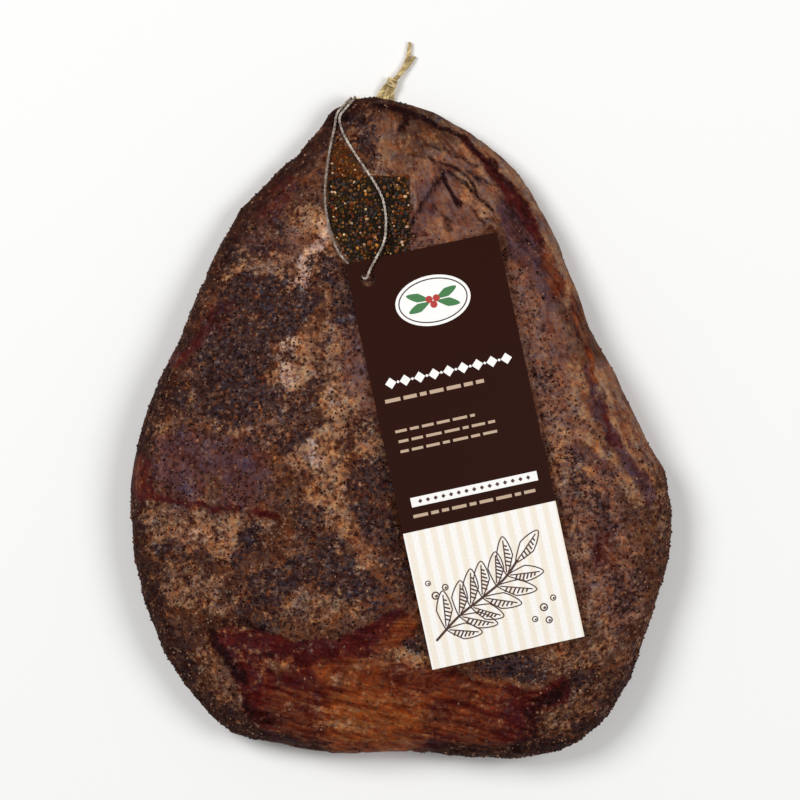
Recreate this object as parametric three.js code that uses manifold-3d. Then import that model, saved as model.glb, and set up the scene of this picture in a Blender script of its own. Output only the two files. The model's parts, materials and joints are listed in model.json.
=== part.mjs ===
// A whole cured pork cheek: a pear-shaped slab of fat and lean with its rind underneath, lying on its
// rind with the peppered flesh side up. A twine tie sticks out of its narrow end, and a printed card
// tag hangs from a thin string that is tied there, runs down the face in a long loop and passes
// through the hole in the card's corner.
// Millimetres, +Z up, +Y towards the narrow end, the origin at the middle of the slab's footprint.
import * as THREE from "three";
import { mergeVertices } from "three/addons/utils/BufferGeometryUtils.js";
import Module from "manifold-3d";

const wasm = await Module();
wasm.setup();

// The slab's outline: the distance from HUB to the edge at each angle, anticlockwise from +X.
const HUB = { x: 0, y: -9.5 };
const OUTLINE = [
  [3, 101.4], [14, 96], [30, 92.7], [44, 99.4], [56, 111], [70, 127.3], [82, 138], // right flank
  [90, 143.9], [96, 146.3], [101, 142.8], [104.5, 135.8], // narrow end
  [109, 129.4], [118, 121.9], [123.5, 119], [128, 114.6], // left shoulder
  [139, 107], [153, 101.6], [168, 104.3], // left side
  [183, 109.6], [198, 116], [213, 123.4], [228, 131.2], [239, 135], [247, 131.2], // left flank
  [259, 127.4], [271, 124.3], [284, 130.3], [294, 138], [303, 141], [313, 135.5], // broad end
  [326, 124.5], [339, 119], [347, 115], [355, 109.6], // right bulge
];

// Depths of the slab.
const THICKNESS = 45; // at its deepest, over the middle
const NARROW_END_THICKNESS = 27;
const RIM_HEIGHT = 13; // of the widest line above the board
const NARROW_RIM_HEIGHT = 9;
const TAPER_FROM_Y = 22; // the slab thins from here
const TAPER_TO_Y = 132; // to here
const CROWN_POWER = 3; // how flat the crown is: 2 is an ellipse
const FOOT_SHARE = 0.9; // of the outline, the flat rind that it lies on
const TOP_SPAN = 105; // degrees of the sphere that become the crown, down to the rim
const SIDE_SPAN = 24; // degrees that become the rounded edge under the rim
const CELLS = 24; // mesh cells along each edge of the cube that the slab is rounded from

// Long lumps of fat and muscle under the surface, as products of two bent waves.
const LUMPS = [
  { height: 0.9, wave: [17, 21], bend: [23, 29], sway: 0.9, phase: [1.3, 0.4] },
  { height: 0.5, wave: [9.5, 11], bend: [13, 16], sway: 1.4, phase: [0.2, 2.1] },
];
// Round hollows (negative) and swellings: middle, reach and height.
const SWELLS = [
  { at: [-11, 118], reach: 11, height: -2.4 }, // where the twine is drawn in
  { at: [88, -50], reach: 14, height: -1.6 },
  { at: [-61, -45], reach: 9, height: -1.5 },
  { at: [-36, 72], reach: 12, height: 1.2 },
  { at: [-31, -2], reach: 17, height: 1.1 },
  { at: [40, 112], reach: 10, height: 0.8 },
];
// Creases: a valley along a path.
const CREASES = [
  // between the rind's rolled rim and the meat, down the upper right side
  {
    path: [[0, 131.5], [15, 123.5], [36, 107.5], [48, 95], [56.5, 76], [63, 61.5], [71, 50]],
    depth: 2.4, width: 3.2,
  },
  // the lean streak that follows the right flank
  { path: [[78, 28], [80, 19], [84.5, 6], [88, -7], [95, -18], [103, -25]], depth: 1.1, width: 2.6 },
  // drying cracks near the narrow end
  { path: [[17, 101], [20, 97], [23.5, 91]], depth: 1.3, width: 2.2 },
  { path: [[4, 112], [10, 108], [13, 101]], depth: 0.9, width: 2.4 },
];
// Ledges: the surface steps up by the height to the left of the path, and both sides fade away.
const LEDGES = [
  // the lean flap that laps over the left flank
  {
    path: [[-50, -38], [-56, -35.5], [-64, -35], [-79, -33], [-88, -29.5], [-99, -29], [-110, -32]],
    height: -1.5, reach: 14,
  },
  // the bared lean at the broad end
  {
    path: [[-62, -120], [-67, -108], [-69, -95], [-77, -87], [-76, -81.5], [-57, -81.5], [-41, -85.5],
      [-22, -84.5], [-10, -80.5], [8, -76], [22, -88], [26, -101], [36, -107], [58, -109], [61, -124]],
    height: 1.4, reach: 12,
  },
];
const LEDGE_SHARPNESS = 1.6; // half the width of a ledge's step
// The trimmed slope down to the upper left edge.
const BEVEL = { from: 99, to: 138, blend: 8, reach: 15, drop: 4 };

// Coarse cracked pepper pressed into the face inside the string's loop.
const PEPPER = {
  corners: [
    [-27, 116], [-18, 104], [-12, 103], [4, 103], [4.5, 70], [-12, 68], [-22, 74], [-29, 88], [-30, 101],
  ],
  pitch: 3.1, // between grains
  jitter: 0.9,
  least: 0.75, // radius
  most: 1.25,
  sunk: 0.35, // of its radius
  seed: 7,
};

// The card tag.
const TAG = {
  width: 63.3,
  length: 168.5,
  thickness: 0.5,
  middle: [26.5, -9.4],
  turn: 12.2, // degrees, anticlockwise
  hole: { across: 7.9, down: 7.9, radius: 3 }, // from its top left corner
  bow: 5.6, // its ends droop this far below its middle
  lift: 1.2, // its top end lies this much lower than its middle, its bottom end as much higher
  lean: 2, // its right edge lies this much lower than its middle, its left edge as much higher
  curl: { from: 0.35, drop: 3.4 }, // its top end bends down further, from this share of the half length
  clear: 0.4, // above the meat
  cells: [4, 24], // mesh cells across and along, so that it bends smoothly
};

// The string that holds the tag.
const STRING_DIAMETER = 1.2;
const STRING_CLEAR = 0.45; // above what it lies on
const STRING_STEP = 2.9; // mesh rings along the string
const STRING_SIDES = 8;
const TAG_MARGIN = 1; // between the card and a pepper grain
const GRAIN_CLEAR = 0.4; // between the string and a pepper grain, as seen from above
// Down the left strand, from the edge of the narrow end to the card's top edge.
const LEFT_STRAND = [
  [-20.2, 135.7], [-21.9, 134], [-23.7, 131.9], [-25.3, 130], [-26.2, 127.2], [-26.7, 123.6], [-28.1, 117],
  [-29.6, 107.5], [-30.5, 98], [-30.4, 91.5], [-29.4, 84.6], [-27.8, 78.6], [-24.7, 71.2], [-21.4, 67.2],
];
// From there under the card, up through its hole and over its top edge: places from the middle of the
// hole, and heights above the card's underside.
const BY_HOLE = [
  [-5, 3.4, -1.1], [-2.6, 1.2, -1.15], [-0.8, 0.3, 0], [0, 1.8, 1.4], [1.2, 4.6, 1.7], [2.7, 7.5, 1.8],
  [4, 9.9, 2],
];
// Up the right strand, from the card's top edge to the same place.
const RIGHT_STRAND = [
  [-6.9, 74], [-5.9, 77.6], [-5.6, 80.6], [-5.6, 86], [-7, 93.8], [-10.2, 100.1], [-14.4, 106.5],
  [-19.9, 114.9], [-22.2, 118.9], [-23.4, 121.6], [-24.3, 124.3], [-24.7, 126.9], [-24, 129.2],
  [-22.6, 130.9], [-21.2, 132.6], [-19.6, 134.3], [-18.5, 136.1],
];
// Both strands go over the edge and down the wall, and are tied to the twine at its foot.
const LEFT_END = [[-20, 134.8, 4], [-20.2, 135.6, 5.8], [-20.2, 136, 7.7]];
const RIGHT_END = [[-18.4, 136.4, 7.7], [-18.4, 136.1, 5.8], [-18.3, 135.2, 4]];

// The twine tie, of strands that lie on the board. They come out under the narrow end's edge side by
// side, are knotted beyond it, and two of them end in tails.
const TWINE_DIAMETER = 2;
const TWINE_STEP = 2.4;
const TWINE_SIDES = 8;
const TWINE_KNOT = { at: [-3.2, 142.5, 2.9], size: [5.2, 4.8, 4.6] };
const TWINE_STRANDS = [
  [
    [-22.4, 131.4, 1.4], [-21.4, 134.3, 1.3], [-18.6, 135.7, 1.3], [-14.8, 135.2, 1.3], [-11.6, 134.8, 1.3],
    [-9.4, 136.1, 1.6], [-7.6, 138.7, 2.3], [-5.8, 141.2, 2.8], [-3.3, 143.3, 2.9], [-1.1, 145.1, 2.5],
    [0.6, 147.3, 2.1], [2, 149.6, 1.7], [3.2, 152.2, 1.4], [3.9, 155, 1.2], [4.2, 157.4, 1.2],
    [4.3, 159.6, 1.2],
  ],
  [
    [6.6, 130.2, 1.2], [3.6, 131, 1.2], [0.6, 132, 1.2], [-1.9, 133.7, 1.3], [-3.1, 136, 1.7],
    [-3, 138.8, 2.3], [-2.5, 141.6, 2.8], [-1.5, 144, 2.8], [0.2, 146.2, 2.3], [1.9, 148.2, 1.8],
    [3.6, 150.2, 1.4], [5, 151.9, 1.25], [6.4, 153.7, 1.2],
  ],
  [[-7.6, 132.6, 1.25], [-6.6, 135.2, 1.6], [-5.7, 137.8, 2.1], [-4.9, 140.2, 2.6], [-3.7, 142.4, 2.9]],
];

// A smooth step from 0 to 1 as t goes from a to b.
function smooth(a, b, t) {
  const s = Math.min(1, Math.max(0, (t - a) / (b - a)));
  return s * s * (3 - 2 * s);
}

// The outline's radius at an angle in degrees, by a cubic through the stated points.
function outlineRadius(angle) {
  const turn = ((angle % 360) + 360) % 360;
  const count = OUTLINE.length;
  let i = count - 1;
  while (i >= 0 && OUTLINE[i][0] > turn) i -= 1;
  const knot = (k) => {
    const wrapped = ((k % count) + count) % count;
    return [OUTLINE[wrapped][0] + 360 * Math.floor(k / count), OUTLINE[wrapped][1]];
  };
  const [a, b, c, d] = [knot(i - 1), knot(i), knot(i + 1), knot(i + 2)];
  const slopeIn = (c[1] - a[1]) / (c[0] - a[0]);
  const slopeOut = (d[1] - b[1]) / (d[0] - b[0]);
  const span = c[0] - b[0];
  const t = (turn - b[0]) / span;
  const t2 = t * t;
  const t3 = t2 * t;
  return (
    b[1] * (2 * t3 - 3 * t2 + 1) +
    c[1] * (3 * t2 - 2 * t3) +
    span * (slopeIn * (t3 - 2 * t2 + t) + slopeOut * (t3 - t2))
  );
}

// The distance from a point to a path, signed: positive to the left of its direction.
function alongPath(x, y, path) {
  let best = Infinity;
  let side = 1;
  for (let i = 0; i + 1 < path.length; i += 1) {
    const [ax, ay] = path[i];
    const [bx, by] = [path[i + 1][0] - ax, path[i + 1][1] - ay];
    const [px, py] = [x - ax, y - ay];
    const t = Math.min(1, Math.max(0, (px * bx + py * by) / (bx * bx + by * by)));
    const gap = Math.hypot(px - t * bx, py - t * by);
    if (gap < best) {
      best = gap;
      side = bx * py - by * px >= 0 ? 1 : -1;
    }
  }
  return side * best;
}

// The relief of the face at a point, above the plain crown. edge is the way in from the outline.
function relief(x, y, angle, edge) {
  let z = 0;
  for (const l of LUMPS) {
    const u = x / l.wave[0] + l.phase[0] + l.sway * Math.sin(y / l.bend[0]);
    const v = y / l.wave[1] + l.phase[1] + l.sway * Math.sin(x / l.bend[1]);
    z += l.height * Math.sin(u) * Math.sin(v);
  }
  for (const s of SWELLS) {
    const far = Math.hypot(x - s.at[0], y - s.at[1]) / s.reach;
    z += s.height * Math.exp(-far * far);
  }
  for (const c of CREASES) {
    const far = alongPath(x, y, c.path) / c.width;
    z -= c.depth * Math.exp(-far * far);
  }
  for (const l of LEDGES) {
    const far = alongPath(x, y, l.path);
    z += (l.height / 2) * Math.tanh(far / LEDGE_SHARPNESS) * Math.exp(-Math.abs(far) / l.reach);
  }
  const { from, to, blend, reach, drop } = BEVEL;
  const along = smooth(from - blend, from + blend, angle) * (1 - smooth(to - blend, to + blend, angle));
  z -= drop * along * (1 - smooth(0, reach, edge));
  return z;
}

const thicknessAt = (y) =>
  THICKNESS + (NARROW_END_THICKNESS - THICKNESS) * smooth(TAPER_FROM_Y, TAPER_TO_Y, y);
const rimHeightAt = (y) =>
  RIM_HEIGHT + (NARROW_RIM_HEIGHT - RIM_HEIGHT) * smooth(TAPER_FROM_Y, TAPER_TO_Y, y);

// The face's height over a point of the footprint.
function faceHeight(x, y) {
  const angle = THREE.MathUtils.radToDeg(Math.atan2(y - HUB.y, x - HUB.x));
  const reach = outlineRadius(angle);
  const share = Math.min(1, Math.hypot(x - HUB.x, y - HUB.y) / reach);
  const crown = Math.sqrt(1 - share ** CROWN_POWER);
  const rim = rimHeightAt(y);
  const turn = (angle + 360) % 360;
  return rim + (thicknessAt(y) - rim + relief(x, y, turn, (1 - share) * reach)) * crown;
}

// The slab's point for a direction of the unit sphere.
function slabPoint(direction) {
  const polar = THREE.MathUtils.radToDeg(Math.acos(THREE.MathUtils.clamp(direction.z, -1, 1)));
  const turn = Math.atan2(direction.y, direction.x);
  const reach = outlineRadius(THREE.MathUtils.radToDeg(turn));
  const place = (share) => [HUB.x + share * reach * Math.cos(turn), HUB.y + share * reach * Math.sin(turn)];
  if (polar <= TOP_SPAN) {
    const t = polar / TOP_SPAN;
    const [x, y] = place(Math.sin((Math.PI / 2) * (0.8 * t + 0.2 * t ** 3)));
    return new THREE.Vector3(x, y, faceHeight(x, y));
  }
  if (polar <= TOP_SPAN + SIDE_SPAN) {
    const bend = (Math.PI / 2) * ((polar - TOP_SPAN) / SIDE_SPAN);
    const [x, y] = place(FOOT_SHARE + (1 - FOOT_SHARE) * Math.cos(bend));
    const rim = rimHeightAt(place(1)[1]);
    return new THREE.Vector3(x, y, rim * (1 - Math.sin(bend)));
  }
  const [x, y] = place((FOOT_SHARE * (180 - polar)) / (180 - TOP_SPAN - SIDE_SPAN));
  return new THREE.Vector3(x, y, 0);
}

// A three.js geometry as a solid, with its shared vertices merged.
function solidOf(geometry) {
  const bare = geometry.clone();
  for (const name of Object.keys(bare.attributes)) if (name !== "position") bare.deleteAttribute(name);
  const merged = mergeVertices(bare, 1e-4);
  return new wasm.Manifold(
    new wasm.Mesh({
      numProp: 3,
      vertProperties: new Float32Array(merged.attributes.position.array),
      triVerts: new Uint32Array(merged.index.array),
    }),
  );
}

function geometryOf(solid) {
  const { numProp, vertProperties, triVerts } = solid.getMesh();
  const places = new Float32Array((vertProperties.length / numProp) * 3);
  for (let i = 0; i < places.length / 3; i += 1) {
    places.set(vertProperties.subarray(i * numProp, i * numProp + 3), i * 3);
  }
  const geometry = new THREE.BufferGeometry();
  geometry.setAttribute("position", new THREE.BufferAttribute(places, 3));
  geometry.setIndex(new THREE.BufferAttribute(new Uint32Array(triVerts), 1));
  geometry.computeVertexNormals();
  return geometry;
}

// A cube with evenly turned cells, rounded to a sphere and then to the slab.
function slabGeometry() {
  const geometry = new THREE.BoxGeometry(2, 2, 2, CELLS, CELLS, CELLS);
  const place = geometry.attributes.position;
  const direction = new THREE.Vector3();
  for (let i = 0; i < place.count; i += 1) {
    direction.fromBufferAttribute(place, i);
    direction.set(...direction.toArray().map((v) => Math.tan((v * Math.PI) / 4))).normalize();
    place.setXYZ(i, ...slabPoint(direction).toArray());
  }
  return geometry;
}

// Seeded draws from 0 to 1.
function draws(seed) {
  let state = seed;
  return () => {
    state = (state * 1664525 + 1013904223) % 4294967296;
    return state / 4294967296;
  };
}

function insidePolygon(x, y, corners) {
  let inside = false;
  corners.forEach(([ax, ay], i) => {
    const [bx, by] = corners[(i + 1) % corners.length];
    if (ay > y !== by > y && x < ((bx - ax) * (y - ay)) / (by - ay) + ax) inside = !inside;
  });
  return inside;
}

// The places and sizes of the pepper grains: a staggered grid, each one shaken, clear of string and card.
function pepperGrains(clearOf) {
  const draw = draws(PEPPER.seed);
  const xs = PEPPER.corners.map(([x]) => x);
  const ys = PEPPER.corners.map(([, y]) => y);
  const grains = [];
  let row = 0;
  for (let y = Math.min(...ys); y <= Math.max(...ys); y += PEPPER.pitch * 0.87, row += 1) {
    for (let x = Math.min(...xs) + (row % 2) * (PEPPER.pitch / 2); x <= Math.max(...xs); x += PEPPER.pitch) {
      const px = x + (draw() - 0.5) * 2 * PEPPER.jitter;
      const py = y + (draw() - 0.5) * 2 * PEPPER.jitter;
      const radius = PEPPER.least + (PEPPER.most - PEPPER.least) * draw() ** 2;
      const spin = [draw(), draw(), draw()].map((v) => v * 2 * Math.PI);
      const kept = insidePolygon(px, py, PEPPER.corners) && clearOf(px, py, radius);
      if (kept) grains.push({ px, py, radius, spin });
    }
  }
  return grains;
}

function grainSolid({ px, py, radius, spin }) {
  const grain = new THREE.IcosahedronGeometry(radius, 0);
  grain.scale(1, 0.86, 0.78);
  grain.rotateX(spin[0]).rotateY(spin[1]).rotateZ(spin[2]);
  grain.translate(px, py, faceHeight(px, py) + radius * (0.5 - PEPPER.sunk));
  return solidOf(grain);
}

// From the card's own place, across and up from its middle, to the part's frame.
function tagPlace(across, up) {
  const turn = THREE.MathUtils.degToRad(TAG.turn);
  return [
    TAG.middle[0] + across * Math.cos(turn) - up * Math.sin(turn),
    TAG.middle[1] + across * Math.sin(turn) + up * Math.cos(turn),
  ];
}
const tagBend = (across, up) => {
  const s = across / (TAG.width / 2);
  const t = up / (TAG.length / 2);
  const curled = Math.max(0, (t - TAG.curl.from) / (1 - TAG.curl.from));
  return -TAG.bow * t * t - TAG.lift * t - TAG.lean * s - TAG.curl.drop * curled * curled;
};
// The card's underside rests at this height, so that it just clears the meat everywhere.
const SAMPLE = 3; // between the tested points
function tagRest() {
  let rest = -Infinity;
  for (let up = -TAG.length / 2; up <= TAG.length / 2; up += SAMPLE) {
    for (let across = -TAG.width / 2; across <= TAG.width / 2; across += SAMPLE) {
      rest = Math.max(rest, faceHeight(...tagPlace(across, up)) - tagBend(across, up));
    }
  }
  return rest + TAG.clear;
}
const TAG_REST = tagRest();
const PUNCH_HEIGHT = 8; // of the cylinder that cuts the hole, well beyond the card's two faces
const PUNCH_SIDES = 20;
const HOLE = { across: TAG.hole.across - TAG.width / 2, up: TAG.length / 2 - TAG.hole.down };

// A point's own place on the card, across and up from its middle.
function onTag(x, y) {
  const turn = THREE.MathUtils.degToRad(TAG.turn);
  const [dx, dy] = [x - TAG.middle[0], y - TAG.middle[1]];
  return [dx * Math.cos(turn) + dy * Math.sin(turn), dy * Math.cos(turn) - dx * Math.sin(turn)];
}
function coversTag(x, y, margin) {
  const [across, up] = onTag(x, y);
  return Math.abs(across) < TAG.width / 2 + margin && Math.abs(up) < TAG.length / 2 + margin;
}
// The height of the card's underside, carried on past its edges.
const tagUnderside = (x, y) => TAG_REST + tagBend(...onTag(x, y));

function tagSolid() {
  const card = new THREE.BoxGeometry(TAG.width, TAG.length, TAG.thickness, ...TAG.cells, 1);
  const place = card.attributes.position;
  for (let i = 0; i < place.count; i += 1) {
    const [across, up] = [place.getX(i), place.getY(i)];
    const z = TAG_REST + tagBend(across, up) + TAG.thickness / 2 + place.getZ(i);
    place.setXYZ(i, ...tagPlace(across, up), z);
  }
  const { radius } = TAG.hole;
  const punch = new THREE.CylinderGeometry(radius, radius, PUNCH_HEIGHT, PUNCH_SIDES).rotateX(Math.PI / 2);
  punch.translate(...tagPlace(HOLE.across, HOLE.up), TAG_REST + tagBend(HOLE.across, HOLE.up));
  return solidOf(card).subtract(solidOf(punch));
}

// How far a point lies from HUB, as a share of the outline's radius there.
function shareOut(x, y) {
  const [dx, dy] = [x - HUB.x, y - HUB.y];
  return Math.hypot(dx, dy) / outlineRadius(THREE.MathUtils.radToDeg(Math.atan2(dy, dx)));
}

// The string's middle over a point of the face: a ball there clears the slab all round by STRING_CLEAR,
// also where the face falls away steeply at its edge.
const BALL = STRING_DIAMETER / 2 + STRING_CLEAR;
const BALL_SHARES = [0, 0.25, 0.5, 0.7, 0.85, 0.95, 1];
const BALL_TURNS = 24;
function onFace([x, y]) {
  let height = -Infinity;
  for (const share of BALL_SHARES) {
    for (let k = 0; k < BALL_TURNS; k += 1) {
      const turn = (2 * Math.PI * k) / BALL_TURNS;
      const [px, py] = [x + BALL * share * Math.cos(turn), y + BALL * share * Math.sin(turn)];
      if (shareOut(px, py) > 1) continue;
      height = Math.max(height, faceHeight(px, py) + BALL * Math.sqrt(1 - share * share));
    }
  }
  return new THREE.Vector3(x, y, height);
}

// The string's route, from the twine round the edge, down the face, through the card and back.
function stringRoute() {
  const [holeX, holeY] = tagPlace(HOLE.across, HOLE.up);
  const byHole = BY_HOLE.map(([dx, dy, rise]) => {
    const [x, y] = [holeX + dx, holeY + dy];
    return new THREE.Vector3(x, y, tagUnderside(x, y) + rise);
  });
  return [
    ...LEFT_END.map((p) => new THREE.Vector3(...p)),
    ...LEFT_STRAND.map(onFace),
    ...byHole,
    ...RIGHT_STRAND.map(onFace),
    ...RIGHT_END.map((p) => new THREE.Vector3(...p)),
  ];
}

// A closed tube of one size along a route.
function tube(points, diameter, sides, step) {
  const path = new THREE.CatmullRomCurve3(points, false, "centripetal");
  const section = new THREE.Shape();
  for (let i = 0; i < sides; i += 1) {
    const turn = (2 * Math.PI * i) / sides;
    const [x, y] = [(diameter / 2) * Math.cos(turn), (diameter / 2) * Math.sin(turn)];
    if (i) section.lineTo(x, y);
    else section.moveTo(x, y);
  }
  section.closePath();
  const steps = Math.ceil(path.getLength() / step);
  return new THREE.ExtrudeGeometry(section, { steps, bevelEnabled: false, extrudePath: path });
}

const route = stringRoute();
const stringSolid = solidOf(tube(route, STRING_DIAMETER, STRING_SIDES, STRING_STEP));

// The strands and the knot that joins them.
function twineSolid() {
  const knot = new THREE.SphereGeometry(0.5, 12, 8).scale(...TWINE_KNOT.size);
  knot.translate(...TWINE_KNOT.at);
  let made = solidOf(knot);
  for (const strand of TWINE_STRANDS) {
    const points = strand.map((p) => new THREE.Vector3(...p));
    made = made.add(solidOf(tube(points, TWINE_DIAMETER, TWINE_SIDES, TWINE_STEP)));
  }
  return made;
}

// The slab with its coarse pepper fused on.
function cheekSolid() {
  const stringFlat = route.map((p) => [p.x, p.y]);
  const clearOf = (x, y, radius) =>
    !coversTag(x, y, radius + TAG_MARGIN) &&
    Math.abs(alongPath(x, y, stringFlat)) > radius + STRING_DIAMETER / 2 + GRAIN_CLEAR;
  const grains = pepperGrains(clearOf).map(grainSolid);
  return wasm.Manifold.union([solidOf(slabGeometry()), ...grains]);
}

function mesh(name, solid, colour, roughness) {
  const made = new THREE.Mesh(
    geometryOf(solid),
    new THREE.MeshStandardMaterial({ color: colour, roughness, metalness: 0 }),
  );
  made.name = name;
  return made;
}

const part = new THREE.Group();
part.add(mesh("pork_cheek", cheekSolid(), "#6b4638", 0.6));
part.add(mesh("hang_tag", tagSolid(), "#2f160f", 0.5));
part.add(mesh("tag_string", stringSolid, "#cfc3b4", 0.9));
part.add(mesh("hanging_twine", twineSolid(), "#d8bd7f", 0.9));
export default part;
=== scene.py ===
import json
import math

import bmesh
import bpy
import numpy as np
from bpy.props import FloatProperty, FloatVectorProperty, IntProperty, PointerProperty
from mathutils import Matrix, Vector, noise

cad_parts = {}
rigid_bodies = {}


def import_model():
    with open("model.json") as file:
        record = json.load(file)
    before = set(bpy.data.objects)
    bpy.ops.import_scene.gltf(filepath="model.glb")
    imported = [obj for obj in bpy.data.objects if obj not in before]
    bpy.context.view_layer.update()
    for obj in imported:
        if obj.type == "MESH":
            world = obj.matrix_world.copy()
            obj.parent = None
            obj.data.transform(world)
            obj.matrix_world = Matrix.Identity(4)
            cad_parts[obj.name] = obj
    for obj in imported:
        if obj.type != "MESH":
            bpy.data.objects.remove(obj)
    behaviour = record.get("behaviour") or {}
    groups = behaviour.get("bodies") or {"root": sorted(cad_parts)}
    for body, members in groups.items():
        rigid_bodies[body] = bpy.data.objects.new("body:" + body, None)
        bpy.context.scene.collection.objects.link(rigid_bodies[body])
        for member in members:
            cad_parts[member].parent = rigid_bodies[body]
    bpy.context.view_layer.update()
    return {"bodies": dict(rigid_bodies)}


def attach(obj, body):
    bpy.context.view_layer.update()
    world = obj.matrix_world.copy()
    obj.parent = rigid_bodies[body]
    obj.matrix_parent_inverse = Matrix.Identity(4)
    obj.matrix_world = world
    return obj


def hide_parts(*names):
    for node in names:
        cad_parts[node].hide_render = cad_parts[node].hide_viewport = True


bl_info = {
    "name": "Cured pork cheek",
    "version": (1, 0, 0),
    "blender": (4, 5, 0),
    "location": "3D view, sidebar, Cheek",
    "description": "Dresses the packed frame of a peppered pork cheek with its tag, string and twine",
    "category": "Object",
}

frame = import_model()
BODY = next(iter(frame["bodies"]))
MM = 0.001


def linear(hex_colour):
    """An sRGB hex value as the linear colour that a shader takes, with full opacity."""
    parts = [int(hex_colour[i : i + 2], 16) / 255 for i in (1, 3, 5)]
    return tuple(c / 12.92 if c <= 0.04045 else ((c + 0.055) / 1.055) ** 2.4 for c in parts) + (1.0,)


# The slab, as in the part's source, in millimetres and degrees.

HUB = (0.0, -9.5)
OUTLINE = [  # angle from +X, and the distance from HUB to the edge
    (3, 101.4), (14, 96), (30, 92.7), (44, 99.4), (56, 111), (70, 127.3), (82, 138), (90, 143.9),
    (96, 146.3), (101, 142.8), (104.5, 135.8), (109, 129.4), (118, 121.9), (123.5, 119), (128, 114.6),
    (139, 107), (153, 101.6), (168, 104.3), (183, 109.6), (198, 116), (213, 123.4), (228, 131.2),
    (239, 135), (247, 131.2), (259, 127.4), (271, 124.3), (284, 130.3), (294, 138), (303, 141),
    (313, 135.5), (326, 124.5), (339, 119), (347, 115), (355, 109.6),
]
THICKNESS, NARROW_THICKNESS = 45.0, 27.0
RIM_HEIGHT, NARROW_RIM_HEIGHT = 13.0, 9.0
TAPER_FROM_Y, TAPER_TO_Y = 22.0, 132.0
CROWN_POWER = 3
FOOT_SHARE = 0.9
TOP_SPAN, SIDE_SPAN = 105.0, 24.0
LUMPS = [  # height, wave, bend, sway, phase
    (0.9, (17, 21), (23, 29), 0.9, (1.3, 0.4)),
    (0.5, (9.5, 11), (13, 16), 1.4, (0.2, 2.1)),
]
SWELLS = [  # middle, reach, height
    ((-11, 118), 11, -2.4), ((88, -50), 14, -1.6), ((-61, -45), 9, -1.5),
    ((-36, 72), 12, 1.2), ((-31, -2), 17, 1.1), ((40, 112), 10, 0.8),
]
CREASES = [  # path, depth, width
    ([(0, 131.5), (15, 123.5), (36, 107.5), (48, 95), (56.5, 76), (63, 61.5), (71, 50)], 2.4, 3.2),
    ([(78, 28), (80, 19), (84.5, 6), (88, -7), (95, -18), (103, -25)], 1.1, 2.6),
    ([(17, 101), (20, 97), (23.5, 91)], 1.3, 2.2),
    ([(4, 112), (10, 108), (13, 101)], 0.9, 2.4),
]
LEDGES = [  # path, height, reach
    ([(-50, -38), (-56, -35.5), (-64, -35), (-79, -33), (-88, -29.5), (-99, -29), (-110, -32)], -1.5, 14),
    ([(-62, -120), (-67, -108), (-69, -95), (-77, -87), (-76, -81.5), (-57, -81.5), (-41, -85.5),
      (-22, -84.5), (-10, -80.5), (8, -76), (22, -88), (26, -101), (36, -107), (58, -109), (61, -124)],
     1.4, 12),
]
LEDGE_SHARPNESS = 1.6
BEVEL = {"from": 99, "to": 138, "blend": 8, "reach": 15, "drop": 4}


def smooth(a, b, t):
    """A smooth step from 0 to 1 as t goes from a to b."""
    s = np.clip((np.asarray(t, float) - a) / (b - a), 0, 1)
    return s * s * (3 - 2 * s)


def outline_radius(angle):
    """The outline's radius at angles in degrees, by a cubic through the stated points."""
    turn = np.asarray(angle, float) % 360
    angles = np.array([a for a, _ in OUTLINE], float)
    radii = np.array([r for _, r in OUTLINE], float)
    count = len(angles)
    i = np.searchsorted(angles, turn, side="right") - 1

    def knot(k):
        return angles[k % count] + 360 * (k // count), radii[k % count]

    (a0, a1), (b0, b1), (c0, c1), (d0, d1) = (knot(i + step) for step in (-1, 0, 1, 2))
    slope_in, slope_out, span = (c1 - a1) / (c0 - a0), (d1 - b1) / (d0 - b0), c0 - b0
    t = (turn - b0) / span
    blend = 3 * t**2 - 2 * t**3
    return (b1 * (1 - blend) + c1 * blend
            + span * (slope_in * (t**3 - 2 * t**2 + t) + slope_out * (t**3 - t**2)))


def along_path(x, y, path):
    """The distance from points to a path, signed: positive to the left of its direction."""
    x, y = np.asarray(x, float), np.asarray(y, float)
    best = np.full(np.broadcast(x, y).shape, np.inf)
    side = np.ones(best.shape)
    for (ax, ay), (ex, ey) in zip(path, path[1:]):
        bx, by = ex - ax, ey - ay
        px, py = x - ax, y - ay
        t = np.clip((px * bx + py * by) / (bx * bx + by * by), 0, 1)
        gap = np.hypot(px - t * bx, py - t * by)
        nearer = gap < best
        best = np.where(nearer, gap, best)
        side = np.where(nearer, np.where(bx * py - by * px >= 0, 1, -1), side)
    return side * best


def relief(x, y, turn, edge):
    """The relief of the face above the plain crown. edge is the way in from the outline."""
    z = np.zeros(np.shape(x))
    for height, wave, bend, sway, phase in LUMPS:
        u = x / wave[0] + phase[0] + sway * np.sin(y / bend[0])
        v = y / wave[1] + phase[1] + sway * np.sin(x / bend[1])
        z = z + height * np.sin(u) * np.sin(v)
    for (sx, sy), reach, height in SWELLS:
        z = z + height * np.exp(-((x - sx) ** 2 + (y - sy) ** 2) / reach**2)
    for path, depth, width in CREASES:
        z = z - depth * np.exp(-((along_path(x, y, path) / width) ** 2))
    for path, height, reach in LEDGES:
        far = along_path(x, y, path)
        z = z + height / 2 * np.tanh(far / LEDGE_SHARPNESS) * np.exp(-np.abs(far) / reach)
    low, high, blend = BEVEL["from"], BEVEL["to"], BEVEL["blend"]
    along = smooth(low - blend, low + blend, turn) * (1 - smooth(high - blend, high + blend, turn))
    return z - BEVEL["drop"] * along * (1 - smooth(0, BEVEL["reach"], edge))


def rim_height(y):
    return RIM_HEIGHT + (NARROW_RIM_HEIGHT - RIM_HEIGHT) * smooth(TAPER_FROM_Y, TAPER_TO_Y, y)


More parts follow.
